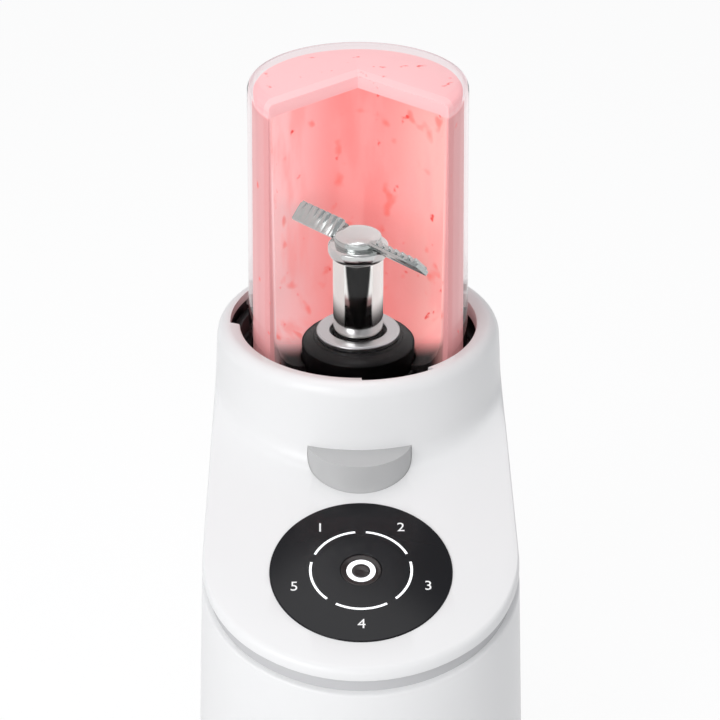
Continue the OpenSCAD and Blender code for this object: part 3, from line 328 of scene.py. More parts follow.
# fine relief and a slow drift of tone, shared by all the plain materials
def grainGroup():
    group = bpy.data.node_groups.new("surfaceGrain", "ShaderNodeTree")
    face = group.interface
    for label, kind, value in (("Color", "NodeSocketColor", (0.8, 0.8, 0.8, 1)),
                               ("Roughness", "NodeSocketFloat", 0.4), ("Scale", "NodeSocketFloat", 400.0),
                               ("Variation", "NodeSocketFloat", 0.04), ("Relief", "NodeSocketFloat", 0.1)):
        face.new_socket(name=label, in_out="INPUT", socket_type=kind).default_value = value
    face.new_socket(name="Color", in_out="OUTPUT", socket_type="NodeSocketColor")
    face.new_socket(name="Roughness", in_out="OUTPUT", socket_type="NodeSocketFloat")
    face.new_socket(name="Normal", in_out="OUTPUT", socket_type="NodeSocketVector")
    add, link = group.nodes.new, group.links.new
    given, result, where = add("NodeGroupInput"), add("NodeGroupOutput"), add("ShaderNodeTexCoord")
    fine, broad = add("ShaderNodeTexNoise"), add("ShaderNodeTexNoise")
    fine.inputs["Detail"].default_value = 2.0
    broad.inputs["Scale"].default_value = 12.0
    link(where.outputs["Object"], fine.inputs["Vector"])
    link(where.outputs["Object"], broad.inputs["Vector"])
    link(given.outputs["Scale"], fine.inputs["Scale"])
    shade = add("ShaderNodeMapRange")
    shade.inputs["To Min"].default_value, shade.inputs["To Max"].default_value = -0.5, 0.5
    link(broad.outputs["Fac"], shade.inputs["Value"])
    spread = add("ShaderNodeMath")
    spread.operation = "MULTIPLY"
    link(shade.outputs["Result"], spread.inputs[0])
    link(given.outputs["Variation"], spread.inputs[1])
    lift = add("ShaderNodeMath")
    lift.operation = "ADD"
    lift.inputs[1].default_value = 1.0
    link(spread.outputs[0], lift.inputs[0])
    tint = add("ShaderNodeVectorMath")
    tint.operation = "SCALE"
    link(given.outputs["Color"], tint.inputs[0])
    link(lift.outputs[0], tint.inputs["Scale"])
    link(tint.outputs[0], result.inputs["Color"])
    rough = add("ShaderNodeMath")
    rough.operation = "MULTIPLY_ADD"
    rough.use_clamp = True
    link(spread.outputs[0], rough.inputs[0])
    rough.inputs[1].default_value = 1.5
    link(given.outputs["Roughness"], rough.inputs[2])
    link(rough.outputs[0], result.inputs["Roughness"])
    bump = add("ShaderNodeBump")
    bump.inputs["Distance"].default_value = 0.0001
    link(given.outputs["Relief"], bump.inputs["Strength"])
    link(fine.outputs["Fac"], bump.inputs["Height"])
    link(bump.outputs["Normal"], result.inputs["Normal"])
    return group


grain = grainGroup()


def surface(name, color, roughness, metallic=0.0, scale=400.0, variation=0.04, relief=0.08, specular=0.5):
    material = bpy.data.materials.new(name)
    material.use_nodes = True
    tree = material.node_tree
    shader = tree.nodes["Principled BSDF"]
    skin = tree.nodes.new("ShaderNodeGroup")
    skin.node_tree = grain
    for label, value in (("Color", (*color, 1)), ("Roughness", roughness), ("Scale", scale),
                         ("Variation", variation), ("Relief", relief)):
        skin.inputs[label].default_value = value
    tree.links.new(skin.outputs["Color"], shader.inputs["Base Color"])
    tree.links.new(skin.outputs["Roughness"], shader.inputs["Roughness"])
    tree.links.new(skin.outputs["Normal"], shader.inputs["Normal"])
    shader.inputs["Metallic"].default_value = metallic
    shader.inputs["Specular IOR Level"].default_value = specular
    return material


# painted reflection: darkens the base colour where the surface faces the viewer, for the dark stripe that the chrome
# reflects
def facingDark(material, dark, low, high):
    tree = material.node_tree
    shader, skin = tree.nodes["Principled BSDF"], tree.nodes["Group"]
    kinds = ("ShaderNodeLayerWeight", "ShaderNodeMapRange", "ShaderNodeMix")
    facing, ramp, mix = (tree.nodes.new(kind) for kind in kinds)
    ramp.interpolation_type = "SMOOTHSTEP"
    ramp.inputs["From Min"].default_value, ramp.inputs["From Max"].default_value = low, high
    mix.data_type = "RGBA"
    mix.inputs["A"].default_value = dark
    tree.links.new(facing.outputs["Facing"], ramp.inputs["Value"])
    tree.links.new(ramp.outputs["Result"], mix.inputs["Factor"])
    tree.links.new(skin.outputs["Color"], mix.inputs["B"])
    tree.links.new(mix.outputs["Result"], shader.inputs["Base Color"])
    return material


def glowing(material, strength):
    shader = material.node_tree.nodes["Principled BSDF"]
    shader.inputs["Emission Color"].default_value = (1, 1, 1, 1)
    shader.inputs["Emission Strength"].default_value = strength
    return material


polish = {"metallic": 1.0, "scale": 300, "relief": 0.01, "variation": 0.02}
white = surface("whiteShell", (0.87, 0.87, 0.87), 0.33, scale=900, variation=0.015, relief=0.03)
# painted shade: the seam band is grey for the shade that falls in the groove under the cover's edge
seamPaintedShade = surface("seamPaintedShade", (0.57, 0.57, 0.58), 0.5, variation=0.02)
offWhite = surface("offWhite", (0.72, 0.72, 0.70), 0.5)
blackMatt = surface("blackMatt", (0.008, 0.008, 0.009), 0.42, scale=700, relief=0.15)
blackGloss = surface("blackGloss", (0.004, 0.004, 0.0045), 0.3, scale=500, relief=0.03, specular=0.2)
panelBlack = surface("panelBlack", (0.007, 0.007, 0.009), 0.2, scale=300, relief=0.0, variation=0.02, specular=0.2)
keyBlack = surface("keyBlack", (0.014, 0.008, 0.008), 0.16, scale=300, relief=0.0, specular=0.35)
lightWhite = glowing(surface("lightWhite", (0.85, 0.87, 0.9), 0.35), 0.55)
# painted light: the printed numbers glow a little, though they are no lamp
printPaintedGlow = glowing(surface("printPaintedGlow", (0.8, 0.8, 0.8), 0.5), 0.2)
buttonGrey = surface("buttonGrey", (0.52, 0.52, 0.52), 0.38, scale=900, variation=0.02, relief=0.04)
rubberBlack = surface("rubberBlack", (0.02, 0.02, 0.02), 0.75, scale=900, relief=0.3)
steel = surface("steel", (0.55, 0.55, 0.56), 0.3, metallic=1.0, scale=600, relief=0.05)
chromeBright = surface("chromeBright", (0.75, 0.75, 0.74), 0.09, **polish)
postChrome = surface("postChrome", (0.85, 0.84, 0.82), 0.1, **polish)
# painted reflection: a dark stripe down the middle of the post
facingDark(postChrome, (0.03, 0.03, 0.03, 1), 0.13, 0.172)
nutChrome = surface("nutChrome", (0.60, 0.605, 0.60), 0.13, **polish)
bladeSteel = surface("bladeSteel", (0.46, 0.485, 0.48), 0.2, metallic=1.0, scale=900, relief=0.05)
aluminium = surface("aluminium", (0.66, 0.67, 0.68), 0.36, metallic=1.0, scale=700, relief=0.12)
brassYellow = surface("brassYellow", (0.7, 0.5, 0.22), 0.3, metallic=1.0)
copper = surface("copper", (0.6, 0.28, 0.14), 0.35, metallic=0.9, scale=1500, relief=0.4)
laminated = surface("laminated", (0.28, 0.29, 0.31), 0.45, metallic=0.9, scale=1800, relief=0.4)
darkPlastic = surface("darkPlastic", (0.045, 0.045, 0.05), 0.5)
brushBrown = surface("brushBrown", (0.12, 0.06, 0.03), 0.55)
boardGreen = surface("boardGreen", (0.02, 0.13, 0.05), 0.4, variation=0.1)
acetal = surface("acetal", (0.76, 0.72, 0.6), 0.45)
gasketGrey = surface("gasketGrey", (0.6, 0.6, 0.6), 0.6)

# the V in front: where the dessert is cut out and the jar's wall is almost unseen
wedge = {"apexY": 10.0, "half": 47.5}


# a new material and the few node steps that the jar and the dessert are built from
class nodeKit:
    def __init__(self, name):
        self.material = bpy.data.materials.new(name)
        self.material.use_nodes = True
        self.tree = self.material.node_tree
        self.shader = self.tree.nodes["Principled BSDF"]
        where = self.tree.nodes.new("ShaderNodeTexCoord").outputs["Object"]
        self.where = self.vector("SUBTRACT", where, (0, axisY * mm, 0))
        split = self.tree.nodes.new("ShaderNodeSeparateXYZ")
        self.feed(self.where, split.inputs[0])
        self.x, self.y, self.z = split.outputs
        self.radius = self.vector("LENGTH", self.vector("MULTIPLY", self.where, (1, 1, 0)), output="Value")

    def feed(self, value, socket):
        if isinstance(value, (int, float, tuple)):
            socket.default_value = value
        else:
            self.tree.links.new(value, socket)

    def math(self, operation, a, b=0.0):
        step = self.tree.nodes.new("ShaderNodeMath")
        step.operation = operation
        self.feed(a, step.inputs[0])
        self.feed(b, step.inputs[1])
        return step.outputs[0]

    def vector(self, operation, a, b=(0, 0, 0), output=0):
        step = self.tree.nodes.new("ShaderNodeVectorMath")
        step.operation = operation
        self.feed(a, step.inputs[0])
        self.feed(b, step.inputs[1])
        return step.outputs[output]

    def ranged(self, value, low, high):  # 0 below, 1 above, with both ends in millimetres
        step = self.tree.nodes.new("ShaderNodeMapRange")
        step.interpolation_type = "SMOOTHSTEP"
        step.inputs["From Min"].default_value, step.inputs["From Max"].default_value = low * mm, high * mm
        self.feed(value, step.inputs["Value"])
        return step.outputs["Result"]

    def mixed(self, factor, a, b):
        step = self.tree.nodes.new("ShaderNodeMix")
        step.data_type = "RGBA"
        self.feed(factor, step.inputs["Factor"])
        self.feed(a, step.inputs["A"])
        self.feed(b, step.inputs["B"])
        return step.outputs["Result"]

    def inWedge(self):  # how deep a point lies inside the V
        depth = self.math("SUBTRACT", wedge["apexY"] * mm, self.y)
        reach = self.math("MULTIPLY", depth, math.tan(math.radians(wedge["half"])))
        return self.math("SUBTRACT", reach, self.math("ABSOLUTE", self.x))


clear = {
    "rough": 0.03, "ior": 1.01, "coat": 0.8,
    "passing": (0.96, 0.93, 0.93, 1),  # what the wall leaves of light that passes to the dessert
    "window": 0.05, "windowEdge": (-0.1, 0.2),  # how much of the wall is seen inside the V
    "shoulder": (0.96, 0.80, 0.82, 1), "shoulderZ": (354, 358.5), "shoulderR": (40, 44),
    "paintedStreaks": ((0.56, (1.0, 0.98, 0.985)), (0.62, (0.94, 0.88, 0.89)), (0.67, (1.0, 0.98, 0.98)),
              (0.73, (0.88, 0.76, 0.78)), (0.80, (0.96, 0.88, 0.89)), (0.90, (0.88, 0.75, 0.77)),
              (1.0, (0.74, 0.62, 0.64))),  # painted reflection: pale and darker tints by how far the wall turns away, for light streaks and dark edges along the jar's sides
}


def clearMaterial():
    kit = nodeKit("clearJar")
    shader, add = kit.shader, kit.tree.nodes.new
    facing, paintedStreaks = add("ShaderNodeLayerWeight"), add("ShaderNodeValToRGB")
    while len(paintedStreaks.color_ramp.elements) < len(clear["paintedStreaks"]):
        paintedStreaks.color_ramp.elements.new(0.5)
    for stop, (position, color) in zip(paintedStreaks.color_ramp.elements, clear["paintedStreaks"]):
        stop.position, stop.color = position, (*color, 1)
    kit.feed(facing.outputs["Facing"], paintedStreaks.inputs["Fac"])
    corner = kit.math("MULTIPLY", kit.ranged(kit.z, *clear["shoulderZ"]), kit.ranged(kit.radius, *clear["shoulderR"]))
    shoulder = kit.mixed(corner, (1.0, 1.0, 1.0, 1), clear["shoulder"])
    kit.feed(kit.vector("MULTIPLY", paintedStreaks.outputs["Color"], shoulder), shader.inputs["Base Color"])
    shader.inputs["Roughness"].default_value = clear["rough"]
    shader.inputs["Transmission Weight"].default_value = 1.0
    shader.inputs["IOR"].default_value = clear["ior"]
    shader.inputs["Coat Weight"].default_value = clear["coat"]
    shader.inputs["Coat Roughness"].default_value = clear["rough"]
    opened = kit.math("MULTIPLY", kit.ranged(kit.inWedge(), *clear["windowEdge"]), 1 - clear["window"])
    kit.feed(kit.math("SUBTRACT", 1.0, opened), shader.inputs["Alpha"])
    path, passing, mix = add("ShaderNodeLightPath"), add("ShaderNodeBsdfTransparent"), add("ShaderNodeMixShader")
    passing.inputs["Color"].default_value = clear["passing"]
    lightRay = kit.math("MAXIMUM", path.outputs["Is Shadow Ray"], path.outputs["Is Diffuse Ray"])
    kit.feed(lightRay, mix.inputs["Fac"])
    kit.feed(shader.outputs["BSDF"], mix.inputs[1])
    kit.feed(passing.outputs["BSDF"], mix.inputs[2])
    kit.feed(mix.outputs["Shader"], kit.tree.nodes["Material Output"].inputs["Surface"])
    return kit.material


dessert = {
    "left": (0.98, 0.66, 0.67, 1), "deep": (0.90, 0.31, 0.30, 1), "right": (0.88, 0.48, 0.45, 1),
    "leftFade": (-38, -4), "rightFade": (6, 40),  # across the cut faces; the paler left side is partly painted light, lifting the wall that the key lamp leaves in shade
    "cloudNoise": (48.0, 3.0, (1.6, 1.6, 0.45)), "cloudFade": (0.42, 0.66), "blotch": (0.96, 0.40, 0.39, 1),
    "smearNoise": (105.0, 1.5), "smearFade": (0.62, 0.75), "smear": (0.90, 0.14, 0.11, 1),
    "speckNoise": (170.0, 2.5), "speckFade": (0.67, 0.77), "speck": (0.72, 0.07, 0.06, 1),
    "skin": (0.62, 0.28, 0.285, 1), "skinFade": (41.9, 43.8),  # against the jar's wall
    "top": (0.84, 0.46, 0.47, 1), "topFade": (354.2, 355.6),  # against the jar's end
    # painted shade: the black and the ranges where it fades in, low down round the hub
    "dark": (0.004, 0.003, 0.003, 1), "asideFade": (31, 42), "liftFade": (231, 243), "lean": 0.547,
    "mirrored": (0.55, 0.58, 0.58, 1), "mirrorFade": (236, 250), "mirrorGlow": 0.7,  # painted reflection: how the steel shows the dessert, grey, glowing, and black low down
    "glow": 0.42, "spared": 0.6, "rough": 0.55, "relief": 0.4,
}


def dessertMaterial():
    kit = nodeKit("frozenDessert")
    shader, add, mixed, ranged = kit.shader, kit.tree.nodes.new, kit.mixed, kit.ranged

    def noise(scale, detail, stretch=(1, 1, 1)):
        step = add("ShaderNodeTexNoise")
        step.inputs["Scale"].default_value, step.inputs["Detail"].default_value = scale, detail
        kit.feed(kit.vector("MULTIPLY", kit.where, stretch), step.inputs["Vector"])
        return kit.math("MULTIPLY", step.outputs["Fac"], mm)

    specks, smears = noise(*dessert["speckNoise"]), noise(*dessert["smearNoise"])
    cloudy = kit.math("MULTIPLY", ranged(noise(*dessert["cloudNoise"]), *dessert["cloudFade"]), 0.75)
    smeared = kit.math("MULTIPLY", ranged(smears, *dessert["smearFade"]), 0.6)
    # partly the dessert's own colour, partly painted light: a pale left side, a deep coral middle and a paler right
    # side, the left painted lighter where the wall lies in shade
    color = mixed(ranged(kit.x, *dessert["leftFade"]), dessert["left"], dessert["deep"])
    color = mixed(ranged(kit.x, *dessert["rightFade"]), color, dessert["right"])
    color = mixed(cloudy, color, dessert["blotch"])
    color = mixed(smeared, color, dessert["smear"])
    side = ranged(kit.radius, *dessert["skinFade"])
    color = mixed(side, color, dessert["skin"])
    color = mixed(ranged(kit.z, *dessert["topFade"]), color, dessert["top"])
    color = mixed(ranged(specks, *dessert["speckFade"]), color, dessert["speck"])
    # painted shade: the cut faces fade to black low down, round the hub
    aside = ranged(kit.math("ABSOLUTE", kit.x), *dessert["asideFade"])
    lift = ranged(kit.math("ADD", kit.math("MULTIPLY", kit.y, dessert["lean"]), kit.z), *dessert["liftFade"])
    lit = kit.math("MAXIMUM", kit.math("MAXIMUM", aside, lift), side)
    color = mixed(lit, dessert["dark"], color)
    # painted reflection: reflection rays see the dessert grey, black low down, and glowing
    path = add("ShaderNodeLightPath")
    mirrored = kit.math("MULTIPLY", path.outputs["Is Reflection Ray"], path.outputs["Is Glossy Ray"])
    shown = mixed(ranged(kit.z, *dessert["mirrorFade"]), dessert["dark"], dessert["mirrored"])
    color = mixed(mirrored, color, shown)
    kit.feed(color, shader.inputs["Base Color"])
    # painted light: the dessert glows in its own colour, less for diffuse rays, to lift its shaded inside
    kit.feed(color, shader.inputs["Emission Color"])
    held = kit.math("MULTIPLY", path.outputs["Is Diffuse Ray"], dessert["spared"])
    glow = kit.math("MULTIPLY", kit.math("SUBTRACT", 1.0, held), dessert["glow"])
    glow = kit.math("ADD", kit.math("MULTIPLY", mirrored, dessert["mirrorGlow"]), glow)
    kit.feed(glow, shader.inputs["Emission Strength"])
    shader.inputs["Roughness"].default_value = dessert["rough"]
    bump = add("ShaderNodeBump")
    bump.inputs["Strength"].default_value, bump.inputs["Distance"].default_value = dessert["relief"], 0.0005
    kit.feed(kit.math("MULTIPLY", specks, 1 / mm), bump.inputs["Height"])
    kit.feed(bump.outputs["Normal"], shader.inputs["Normal"])
    return kit.material


clearJar = clearMaterial()
dessertPink = dessertMaterial()
print("stage: materials")

shellShape = {
    "foot": ((0, 1.2), (0.35, 0.5), (0.8, 0.12), (1.4, 0)),  # rise and inset of the lower edge
    "rows": (0.1, 0.35, 0.65, 0.9),
    "top": ((0, 1.1), (0.08, 0.6), (0.35, 0.2), (0.8, 0.0), (2.6, 0.0), (3.0, 0.4)),  # inset and drop
    "innerZ": 60,
}
vents = {"range": range(-4, 5), "pitch": 7, "half": 1.5, "low": 60, "high": 94, "near": 30, "far": 90}
gland = {"r": 6.5, "reach": 20, "y": 70, "z": 34}


def shellLoops():
    ground, wall = body["ground"], body["wall"]
    footTop = ground + shellShape["foot"][-1][0]
    loops = [[outPoint(s, ground + up, inset) for s in stations] for up, inset in shellShape["foot"]]
    loops += [[planePoint(s, 0, seamTop + 1).lerp(outPoint(s, footTop, 0), 1 - t) for s in stations]
              for t in shellShape["rows"]]
    loops += [[planePoint(s, inset, seamTop + drop) for s in stations] for inset, drop in shellShape["top"]]
    loops += [[outPoint(s, z, wall) for s in stations] for z in (shellShape["innerZ"], ground)]
    return loops


def cordHole():
    hole = discMesh("cordHole", gland["r"], -gland["reach"], gland["reach"])
    for v in hole.data.vertices:  # laid along the y axis
        v.co = Vector((v.co.x, (gland["y"] + axisY) * mm + v.co.z, (gland["z"] + axisY) * mm - v.co.y))
    return hole


def ventBox(i):
    middle, half = i * vents["pitch"], vents["half"]
    low, high = (middle - half, vents["near"], vents["low"]), (middle + half, vents["far"], vents["high"])
    return boxMesh(f"slot{i}", low, high)


lowerShell = loopMesh("lowerShell", shellLoops())
cutBy(lowerShell, [ventBox(i) for i in vents["range"]] + [cordHole()])
finishPiece(lowerShell, "base", white, ("lower_housing",))

press = {
    "r": 22.3, "flare": math.tan(math.radians(4.8)), "y": -54.6, "top": 221.6, "low": 200.6, "back": 59.22,
    "round": 1.5, "wall": 2.2, "topT": 3, "gap": 0.15, "holeLow": 186.6,
}
panelShape = {"r": 36.8, "low": -1.6, "high": 0.5, "edge": 0.3, "hole": 8.4, "recess": 36.95, "open": 32.8}
notch = {"starts": (1, 121, 241), "width": 33, "inner": 50, "r": 56.2, "pocketR": 58.1, "low": 243,
         "high": 262, "pocketTop": 247.55}


def keyRadius(z):
    return press["r"] + (press["top"] - z) * press["flare"]


def coverCutters():
    cutters = []
    for start in notch["starts"]:
        spot = (start, notch["width"])
        cutters.append(sectorMesh(f"notch{start}", notch["inner"], notch["r"], notch["low"], notch["high"], *spot))
        cutters.append(sectorMesh(f"pocket{start}", notch["inner"], notch["pocketR"], notch["low"],
                                  notch["pocketTop"], *spot))
    low, top, gap = press["holeLow"], press["top"], press["gap"]
    cutters.append(discMesh("buttonHole", keyRadius(low) + gap, low, top + 0.04, (0, press["y"]),
                            topRadius=keyRadius(top) + gap))
    cutters.append(discMesh("panelRecess", panelShape["recess"], panelShape["low"], 10, tilt=True))
    cutters.append(discMesh("panelHole", panelShape["open"], -20, 10, tilt=True))
    return cutters


columns = [coverColumn(i, station) for i, station in enumerate(stations)]
cover = loopMesh("deckCover", list(zip(*columns)))
cutBy(cover, coverCutters(), 0.45)
finishPiece(cover, "base", white, ("upper_housing",))

seamOut = body["seamDepth"]
seamIn = seamOut + body["seamT"]
seamCorners = ((seamOut, seamTop), (seamOut, body["coverLip"]), (seamIn, body["coverLip"]), (seamIn, seamTop))
seamBand = loopMesh("seamBand", [[planePoint(s, inset, drop) for s in stations] for inset, drop in seamCorners])
finishPiece(seamBand, "base", seamPaintedShade, ("seam_ring",))
print("stage: shells")

jarShape = {
    "mouthR": 48.7, "endR": 46.2, "mouthZ": 222.0, "endZ": 363.8, "wall": 2.6, "end": 3.4, "round": 4.6,
    "rows": (222.6, 250, 280, 310, 340), "mouthCuts": (2.2, 0.4), "flatR": 30,
}
bowAngles = [math.radians(a) for a in range(0, 91, 9)]


def jarRadius(z, inset=0.0):
    share = (z - jarShape["mouthZ"]) / (jarShape["endZ"] - jarShape["round"] - jarShape["mouthZ"])
    return jarShape["mouthR"] + (jarShape["endR"] - jarShape["mouthR"]) * min(share, 1) - inset


def bowPoint(edge, top, bow, a):
    return edge - bow * (1 - math.cos(a)), top - bow * (1 - math.sin(a))


def jarMesh():
    bow, edge, top, flat = (jarShape[key] for key in ("round", "endR", "endZ", "flatR"))
    wall, under = jarShape["wall"], top - jarShape["end"]
    points = [(jarRadius(z), z) for z in jarShape["rows"]]
    points += [bowPoint(edge, top, bow, a) for a in bowAngles]
    points += [(flat, top), (0, top), (0, under), (flat, under)]
    points += [bowPoint(edge - wall, under, bow - 1, a) for a in bowAngles[::-1]]
    points += [(jarRadius(z, wall), z) for z in jarShape["rows"][::-1]]
    points += [(jarRadius(jarShape["mouthZ"], cut), jarShape["mouthZ"]) for cut in jarShape["mouthCuts"]]
    return latheMesh("clearJarWall", points, 160)


finishPiece(jarMesh(), "jar_and_cap", clearJar, ("jar",), 50)

fill = {
    "gap": -0.05, "outer": (232, 250, 275, 300, 325, 345, 354), "crown": ((3.0, 1.6), (3.6, 0.6), (4.6, 0)),
    "inner": 41.8, "slabLow": 355.2, "slabTop": 360.44, "rows": (340, 320, 300, 280, 262, 252),
    "scoop": [(41.2, 248), (39.6, 243.5), (36.5, 239.2), (32.5, 236), (28.5, 234.2), (25.8, 233.6),
              (25.8, 231.2), (41, 231.2)],
    "wedgeLow": 225, "wedgeReach": 90, "edge": 0.5,
}


def wedgeCutter():
    bm = bmesh.new()
    apex, reach = wedge["apexY"], fill["wedgeReach"]
    side = reach * math.tan(math.radians(wedge["half"]))
    corners = [(0, apex), (side, apex - reach), (-side, apex - reach)]
    face = bm.faces.new([bm.verts.new(place((x, y, fill["wedgeLow"]))) for x, y in corners])
    lifted = bmesh.ops.extrude_face_region(bm, geom=[face])
    bmesh.ops.translate(bm, verts=[v for v in lifted["geom"] if isinstance(v, bmesh.types.BMVert)], vec=(0, 0, 0.15))
    return meshFrom("wedge", bm)


def dessertMesh():
    inner, low, top = fill["inner"], fill["slabLow"], fill["slabTop"]
    points = [(jarRadius(z, jarShape["wall"] + fill["gap"]), z) for z in fill["outer"]]
    points += [(jarRadius(350, cut), top - drop) for cut, drop in fill["crown"]] + [(0, top)]
    points += [(0, low), (inner - 3, low), (inner - 0.8, low - 0.8)]
    points += [(inner, z) for z in (low - 3, *fill["rows"])] + fill["scoop"]
    made = latheMesh("dessertFill", points, 180)
    cutBy(made, [wedgeCutter()], fill["edge"], 60)
    return made


finishPiece(dessertMesh(), "jar_and_cap", dessertPink, angle=40)
print("stage: jar")


def keyMesh():
    made = discMesh("releaseKey", keyRadius(press["low"]), press["low"], press["top"], (0, press["y"]), 160,
                    topRadius=press["r"])
    cutBy(made, [discMesh("keyBack", press["back"], 190, 230, steps=256)], press["round"], segments=6)
    hollow = discMesh("keyHollow", press["r"] - press["wall"], 190, press["top"] - press["topT"], (0, press["y"]))
    cutBy(made, [hollow], 0.2)
    return made


finishPiece(keyMesh(), "release_key", buttonGrey, ("release_button",), 40)
keyY, keyTop = press["y"], press["top"]
innards = (
    discMesh("keyPost", 3, press["low"] + 1, keyTop - 2, (0, keyY - 14), 48),
    boxMesh("keyTongue", (-5, keyY - 8, keyTop - 9), (5, keyY + 10, keyTop - 4)),
    boxMesh("tongueRoot", (-5, keyY - 8, keyTop - 5), (5, keyY - 4, keyTop - 2)),
)
for made in innards:
    cutBy(made, [], 0.25)
    finishPiece(made, "release_key", buttonGrey, (), 40)


def panelMesh():
    radius, low, high, edge, hole = (panelShape[key] for key in ("r", "low", "high", "edge", "hole"))
    points = [(hole, low), (radius, low), (radius, high - edge)]
    points += [bowPoint(radius, high, edge, math.radians(a)) for a in (22.5, 45, 67.5, 90)]
    points += [(hole + 0.15, high), (hole, high - 0.15)]
    made = latheMesh("panelDisc", points, 160)
    made.data.transform(deckMatrix @ Matrix.Translation((0, -axisY * mm, 0)))
    return made


finishPiece(panelMesh(), "base", panelBlack, ("control_panel",))
dressed("light_arcs", lightWhite, 0.0)
dressed("start_button", keyBlack, 0.15)
dressed("start_ring", lightWhite, 0.0)
numbers = {"radius": 28.2, "size": 6.75, "depth": 0.02, "rise": 0.52, "angles": (126, 54, -18, -90, -162)}


def numberMesh(index, angle):
    curve = bpy.data.curves.new(f"number{index}", "FONT")
    curve.body = str(index)
    curve.size = numbers["size"] * mm
    curve.align_x, curve.align_y = "CENTER", "CENTER"
    curve.extrude = numbers["depth"] * mm
    holder = linked(f"number{index}Curve", curve)
    graph = bpy.context.evaluated_depsgraph_get()
    mesh = bpy.data.meshes.new_from_object(holder.evaluated_get(graph))
    bpy.data.objects.remove(holder)
    turn, reach = math.radians(angle), numbers["radius"]
    spot = (reach * math.cos(turn) * mm, reach * math.sin(turn) * mm, numbers["rise"] * mm)
    mesh.transform(deckMatrix @ Matrix.Translation(spot))
    finishPiece(linked(f"programNumber{index}", mesh), "base", printPaintedGlow)


for index, angle in enumerate(numbers["angles"], 1):
    numberMesh(index, angle)
print("stage: controls")

# material and width of the broken edge of every other node
looks = {
    "base_plate": (offWhite, 0.4), "rubber_feet": (rubberBlack, 0.3), "base_screws": (steel, 0.15),
    "socket_liner": (blackMatt, 0.3), "control_board": (boardGreen, 0.1), "start_switch": (darkPlastic, 0.2),
    "spring_bracket": (offWhite, 0.3), "lower_gear_plate": (aluminium, 0.3), "upper_gear_plate": (aluminium, 0.3),
    "gear_posts": (steel, 0.2), "shaft_bearings": (steel, 0.2), "idler_pin": (steel, 0.2),
    "motor_stator": (laminated, 0.3), "motor_frame": (darkPlastic, 0.3), "motor_brushes": (brushBrown, 0.3),
    "guide_rods": (chromeBright, 0.3), "lift_motor": (laminated, 0.4), "top_bracket": (aluminium, 0.3),
    "power_board": (boardGreen, 0.1), "cord_gland": (rubberBlack, 0.3), "jar_switch": (darkPlastic, 0.3),
    "release_spring": (steel, 0.1), "lock_ring": (blackMatt, 0.35), "blade_cap": (blackGloss, 0.5),
    "cap_gasket": (gasketGrey, 0.3), "hub_flange": (steel, 0.2), "seal_bush": (blackGloss, 0.2),
    "blade_post": (postChrome, 0.2), "post_cap": (nutChrome, 0.15), "blade": (bladeSteel, 0.12),
    "blade_nut": (nutChrome, 0.1), "output_gear": (acetal, 0.12), "drive_shaft": (steel, 0.2),
    "spindle": (chromeBright, 0.2), "spindle_collar": (steel, 0.2), "lift_carriage": (offWhite, 0.3),
    "carriage_bearing": (steel, 0.2), "lead_nut": (brassYellow, 0.2), "lift_screw": (steel, 0.2),
    "screw_gear": (acetal, 0.1), "lift_pinion": (brassYellow, 0.1), "motor_rotor": (copper, 0.2),
    "motor_shaft": (steel, 0.2), "motor_pinion": (brassYellow, 0.12), "cooling_fan": (offWhite, 0.2),
    "idler_gear": (acetal, 0.12),
}
for node, (material, bevel) in looks.items():
    dressed(node, material, bevel, 12 if node == "blade" else 35)  # the blade's ridges are shallow
print("stage: inner parts")

studio = {
    "floor": (0.8, 0.8, 0.8, 1), "floorRough": 0.9, "floorSize": 6, "glow": 1.07, "glowShare": 0.82,
    "light": (0.50, 0.505, 0.52, 1), "plain": (1, 1, 1, 1),
}


# camera rays and the named kind see the plain background, other rays see what lights the object
def seenBy(tree, label):
    path = tree.nodes.new("ShaderNodeLightPath")
    seen = tree.nodes.new("ShaderNodeMath")
    seen.operation = "MAXIMUM"
    tree.links.new(path.outputs["Is Camera Ray"], seen.inputs[0])
    tree.links.new(path.outputs[label], seen.inputs[1])
    return seen.outputs[0]


def floorMaterial():
    material = bpy.data.materials.new("floorWhite")
    material.use_nodes = True
    tree = material.node_tree
    add, link, lit = tree.nodes.new, tree.links.new, tree.nodes["Principled BSDF"]
    lit.inputs["Base Color"].default_value = studio["floor"]
    lit.inputs["Roughness"].default_value = studio["floorRough"]
    glow, both, share = add("ShaderNodeEmission"), add("ShaderNodeMixShader"), add("ShaderNodeMath")
    glow.inputs["Strength"].default_value = studio["glow"]
    share.operation = "MULTIPLY"
    share.inputs[1].default_value = studio["glowShare"]
    link(seenBy(tree, "Is Glossy Ray"), share.inputs[0])
    link(share.outputs[0], both.inputs["Fac"])
    link(lit.outputs["BSDF"], both.inputs[1])
    link(glow.outputs["Emission"], both.inputs[2])
    # seen from below it isn't there
    side, under, oneSided = add("ShaderNodeNewGeometry"), add("ShaderNodeBsdfTransparent"), add("ShaderNodeMixShader")
    link(side.outputs["Backfacing"], oneSided.inputs["Fac"])
    link(both.outputs["Shader"], oneSided.inputs[1])
    link(under.outputs["BSDF"], oneSided.inputs[2])
    link(oneSided.outputs["Shader"], tree.nodes["Material Output"].inputs["Surface"])
    return material


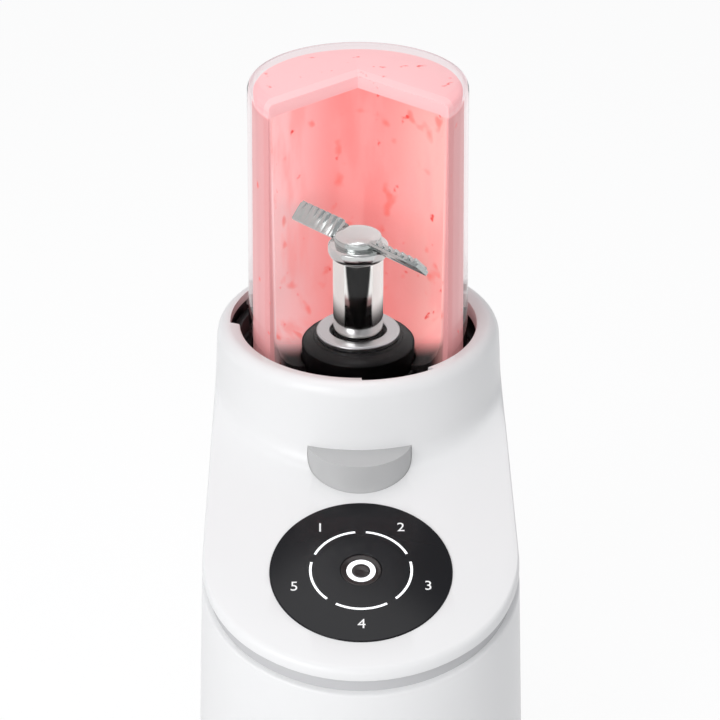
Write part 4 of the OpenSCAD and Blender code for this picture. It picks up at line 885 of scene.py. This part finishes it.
bm = bmesh.new()
bmesh.ops.create_grid(bm, x_segments=1, y_segments=1, size=studio["floorSize"])
floor = meshFrom("floor", bm)
if floor.data.polygons[0].normal.z < 0:
    floor.data.flip_normals()
floor.data.materials.append(floorMaterial())

world = bpy.data.worlds.new("studio")
bpy.context.scene.world = world
world.use_nodes = True
tree = world.node_tree
sky, tone = tree.nodes["Background"], tree.nodes.new("ShaderNodeMix")
tone.data_type = "RGBA"
tone.inputs["A"].default_value = studio["light"]
tone.inputs["B"].default_value = studio["plain"]
tree.links.new(seenBy(tree, "Is Transmission Ray"), tone.inputs["Factor"])
tree.links.new(tone.outputs["Result"], sky.inputs["Color"])
sky.inputs["Strength"].default_value = 1.0

# metres and watts
lamps = {
    "keyLamp": {"spot": (-0.75, -0.95, 0.85), "aim": (0, 0, 0.2), "size": (0.7, 0.9), "power": 6.9},
    "topLamp": {"spot": (-0.1, 0.1, 1.3), "aim": (0, 0, 0.25), "size": (0.7, 0.7), "power": 3.0},
    "frontLamp": {"spot": (-0.25, -1.5, 0.45), "aim": (0, 0, 0.15), "size": (0.8, 0.6), "power": 2.6},
    "fillLamp": {"spot": (0.9, -0.6, 0.5), "aim": (0, 0, 0.2), "size": (0.5, 0.8), "power": 0.3},
}
for name, lamp in lamps.items():
    light = bpy.data.lights.new(name, "AREA")
    light.shape = "RECTANGLE"
    light.size, light.size_y = lamp["size"]
    light.energy = lamp["power"]
    made = linked(name, light)
    made.location = lamp["spot"]
    made.rotation_euler = (Vector(lamp["aim"]) - Vector(lamp["spot"])).to_track_quat("-Z", "Y").to_euler()

view = {"lens": 105.0, "sensor": 36.0, "spot": (-7.577, -819.998, 679.586), "tilt": 61.274, "swing": -0.586}
camera = linked("camera", bpy.data.cameras.new("camera"))
camera.data.lens, camera.data.sensor_width = view["lens"], view["sensor"]
camera.location = place(view["spot"])
camera.rotation_euler = (math.radians(view["tilt"]), 0, math.radians(view["swing"]))
bpy.context.scene.camera = camera
bpy.context.scene.view_settings.view_transform = "Standard"
print("stage: light and camera")
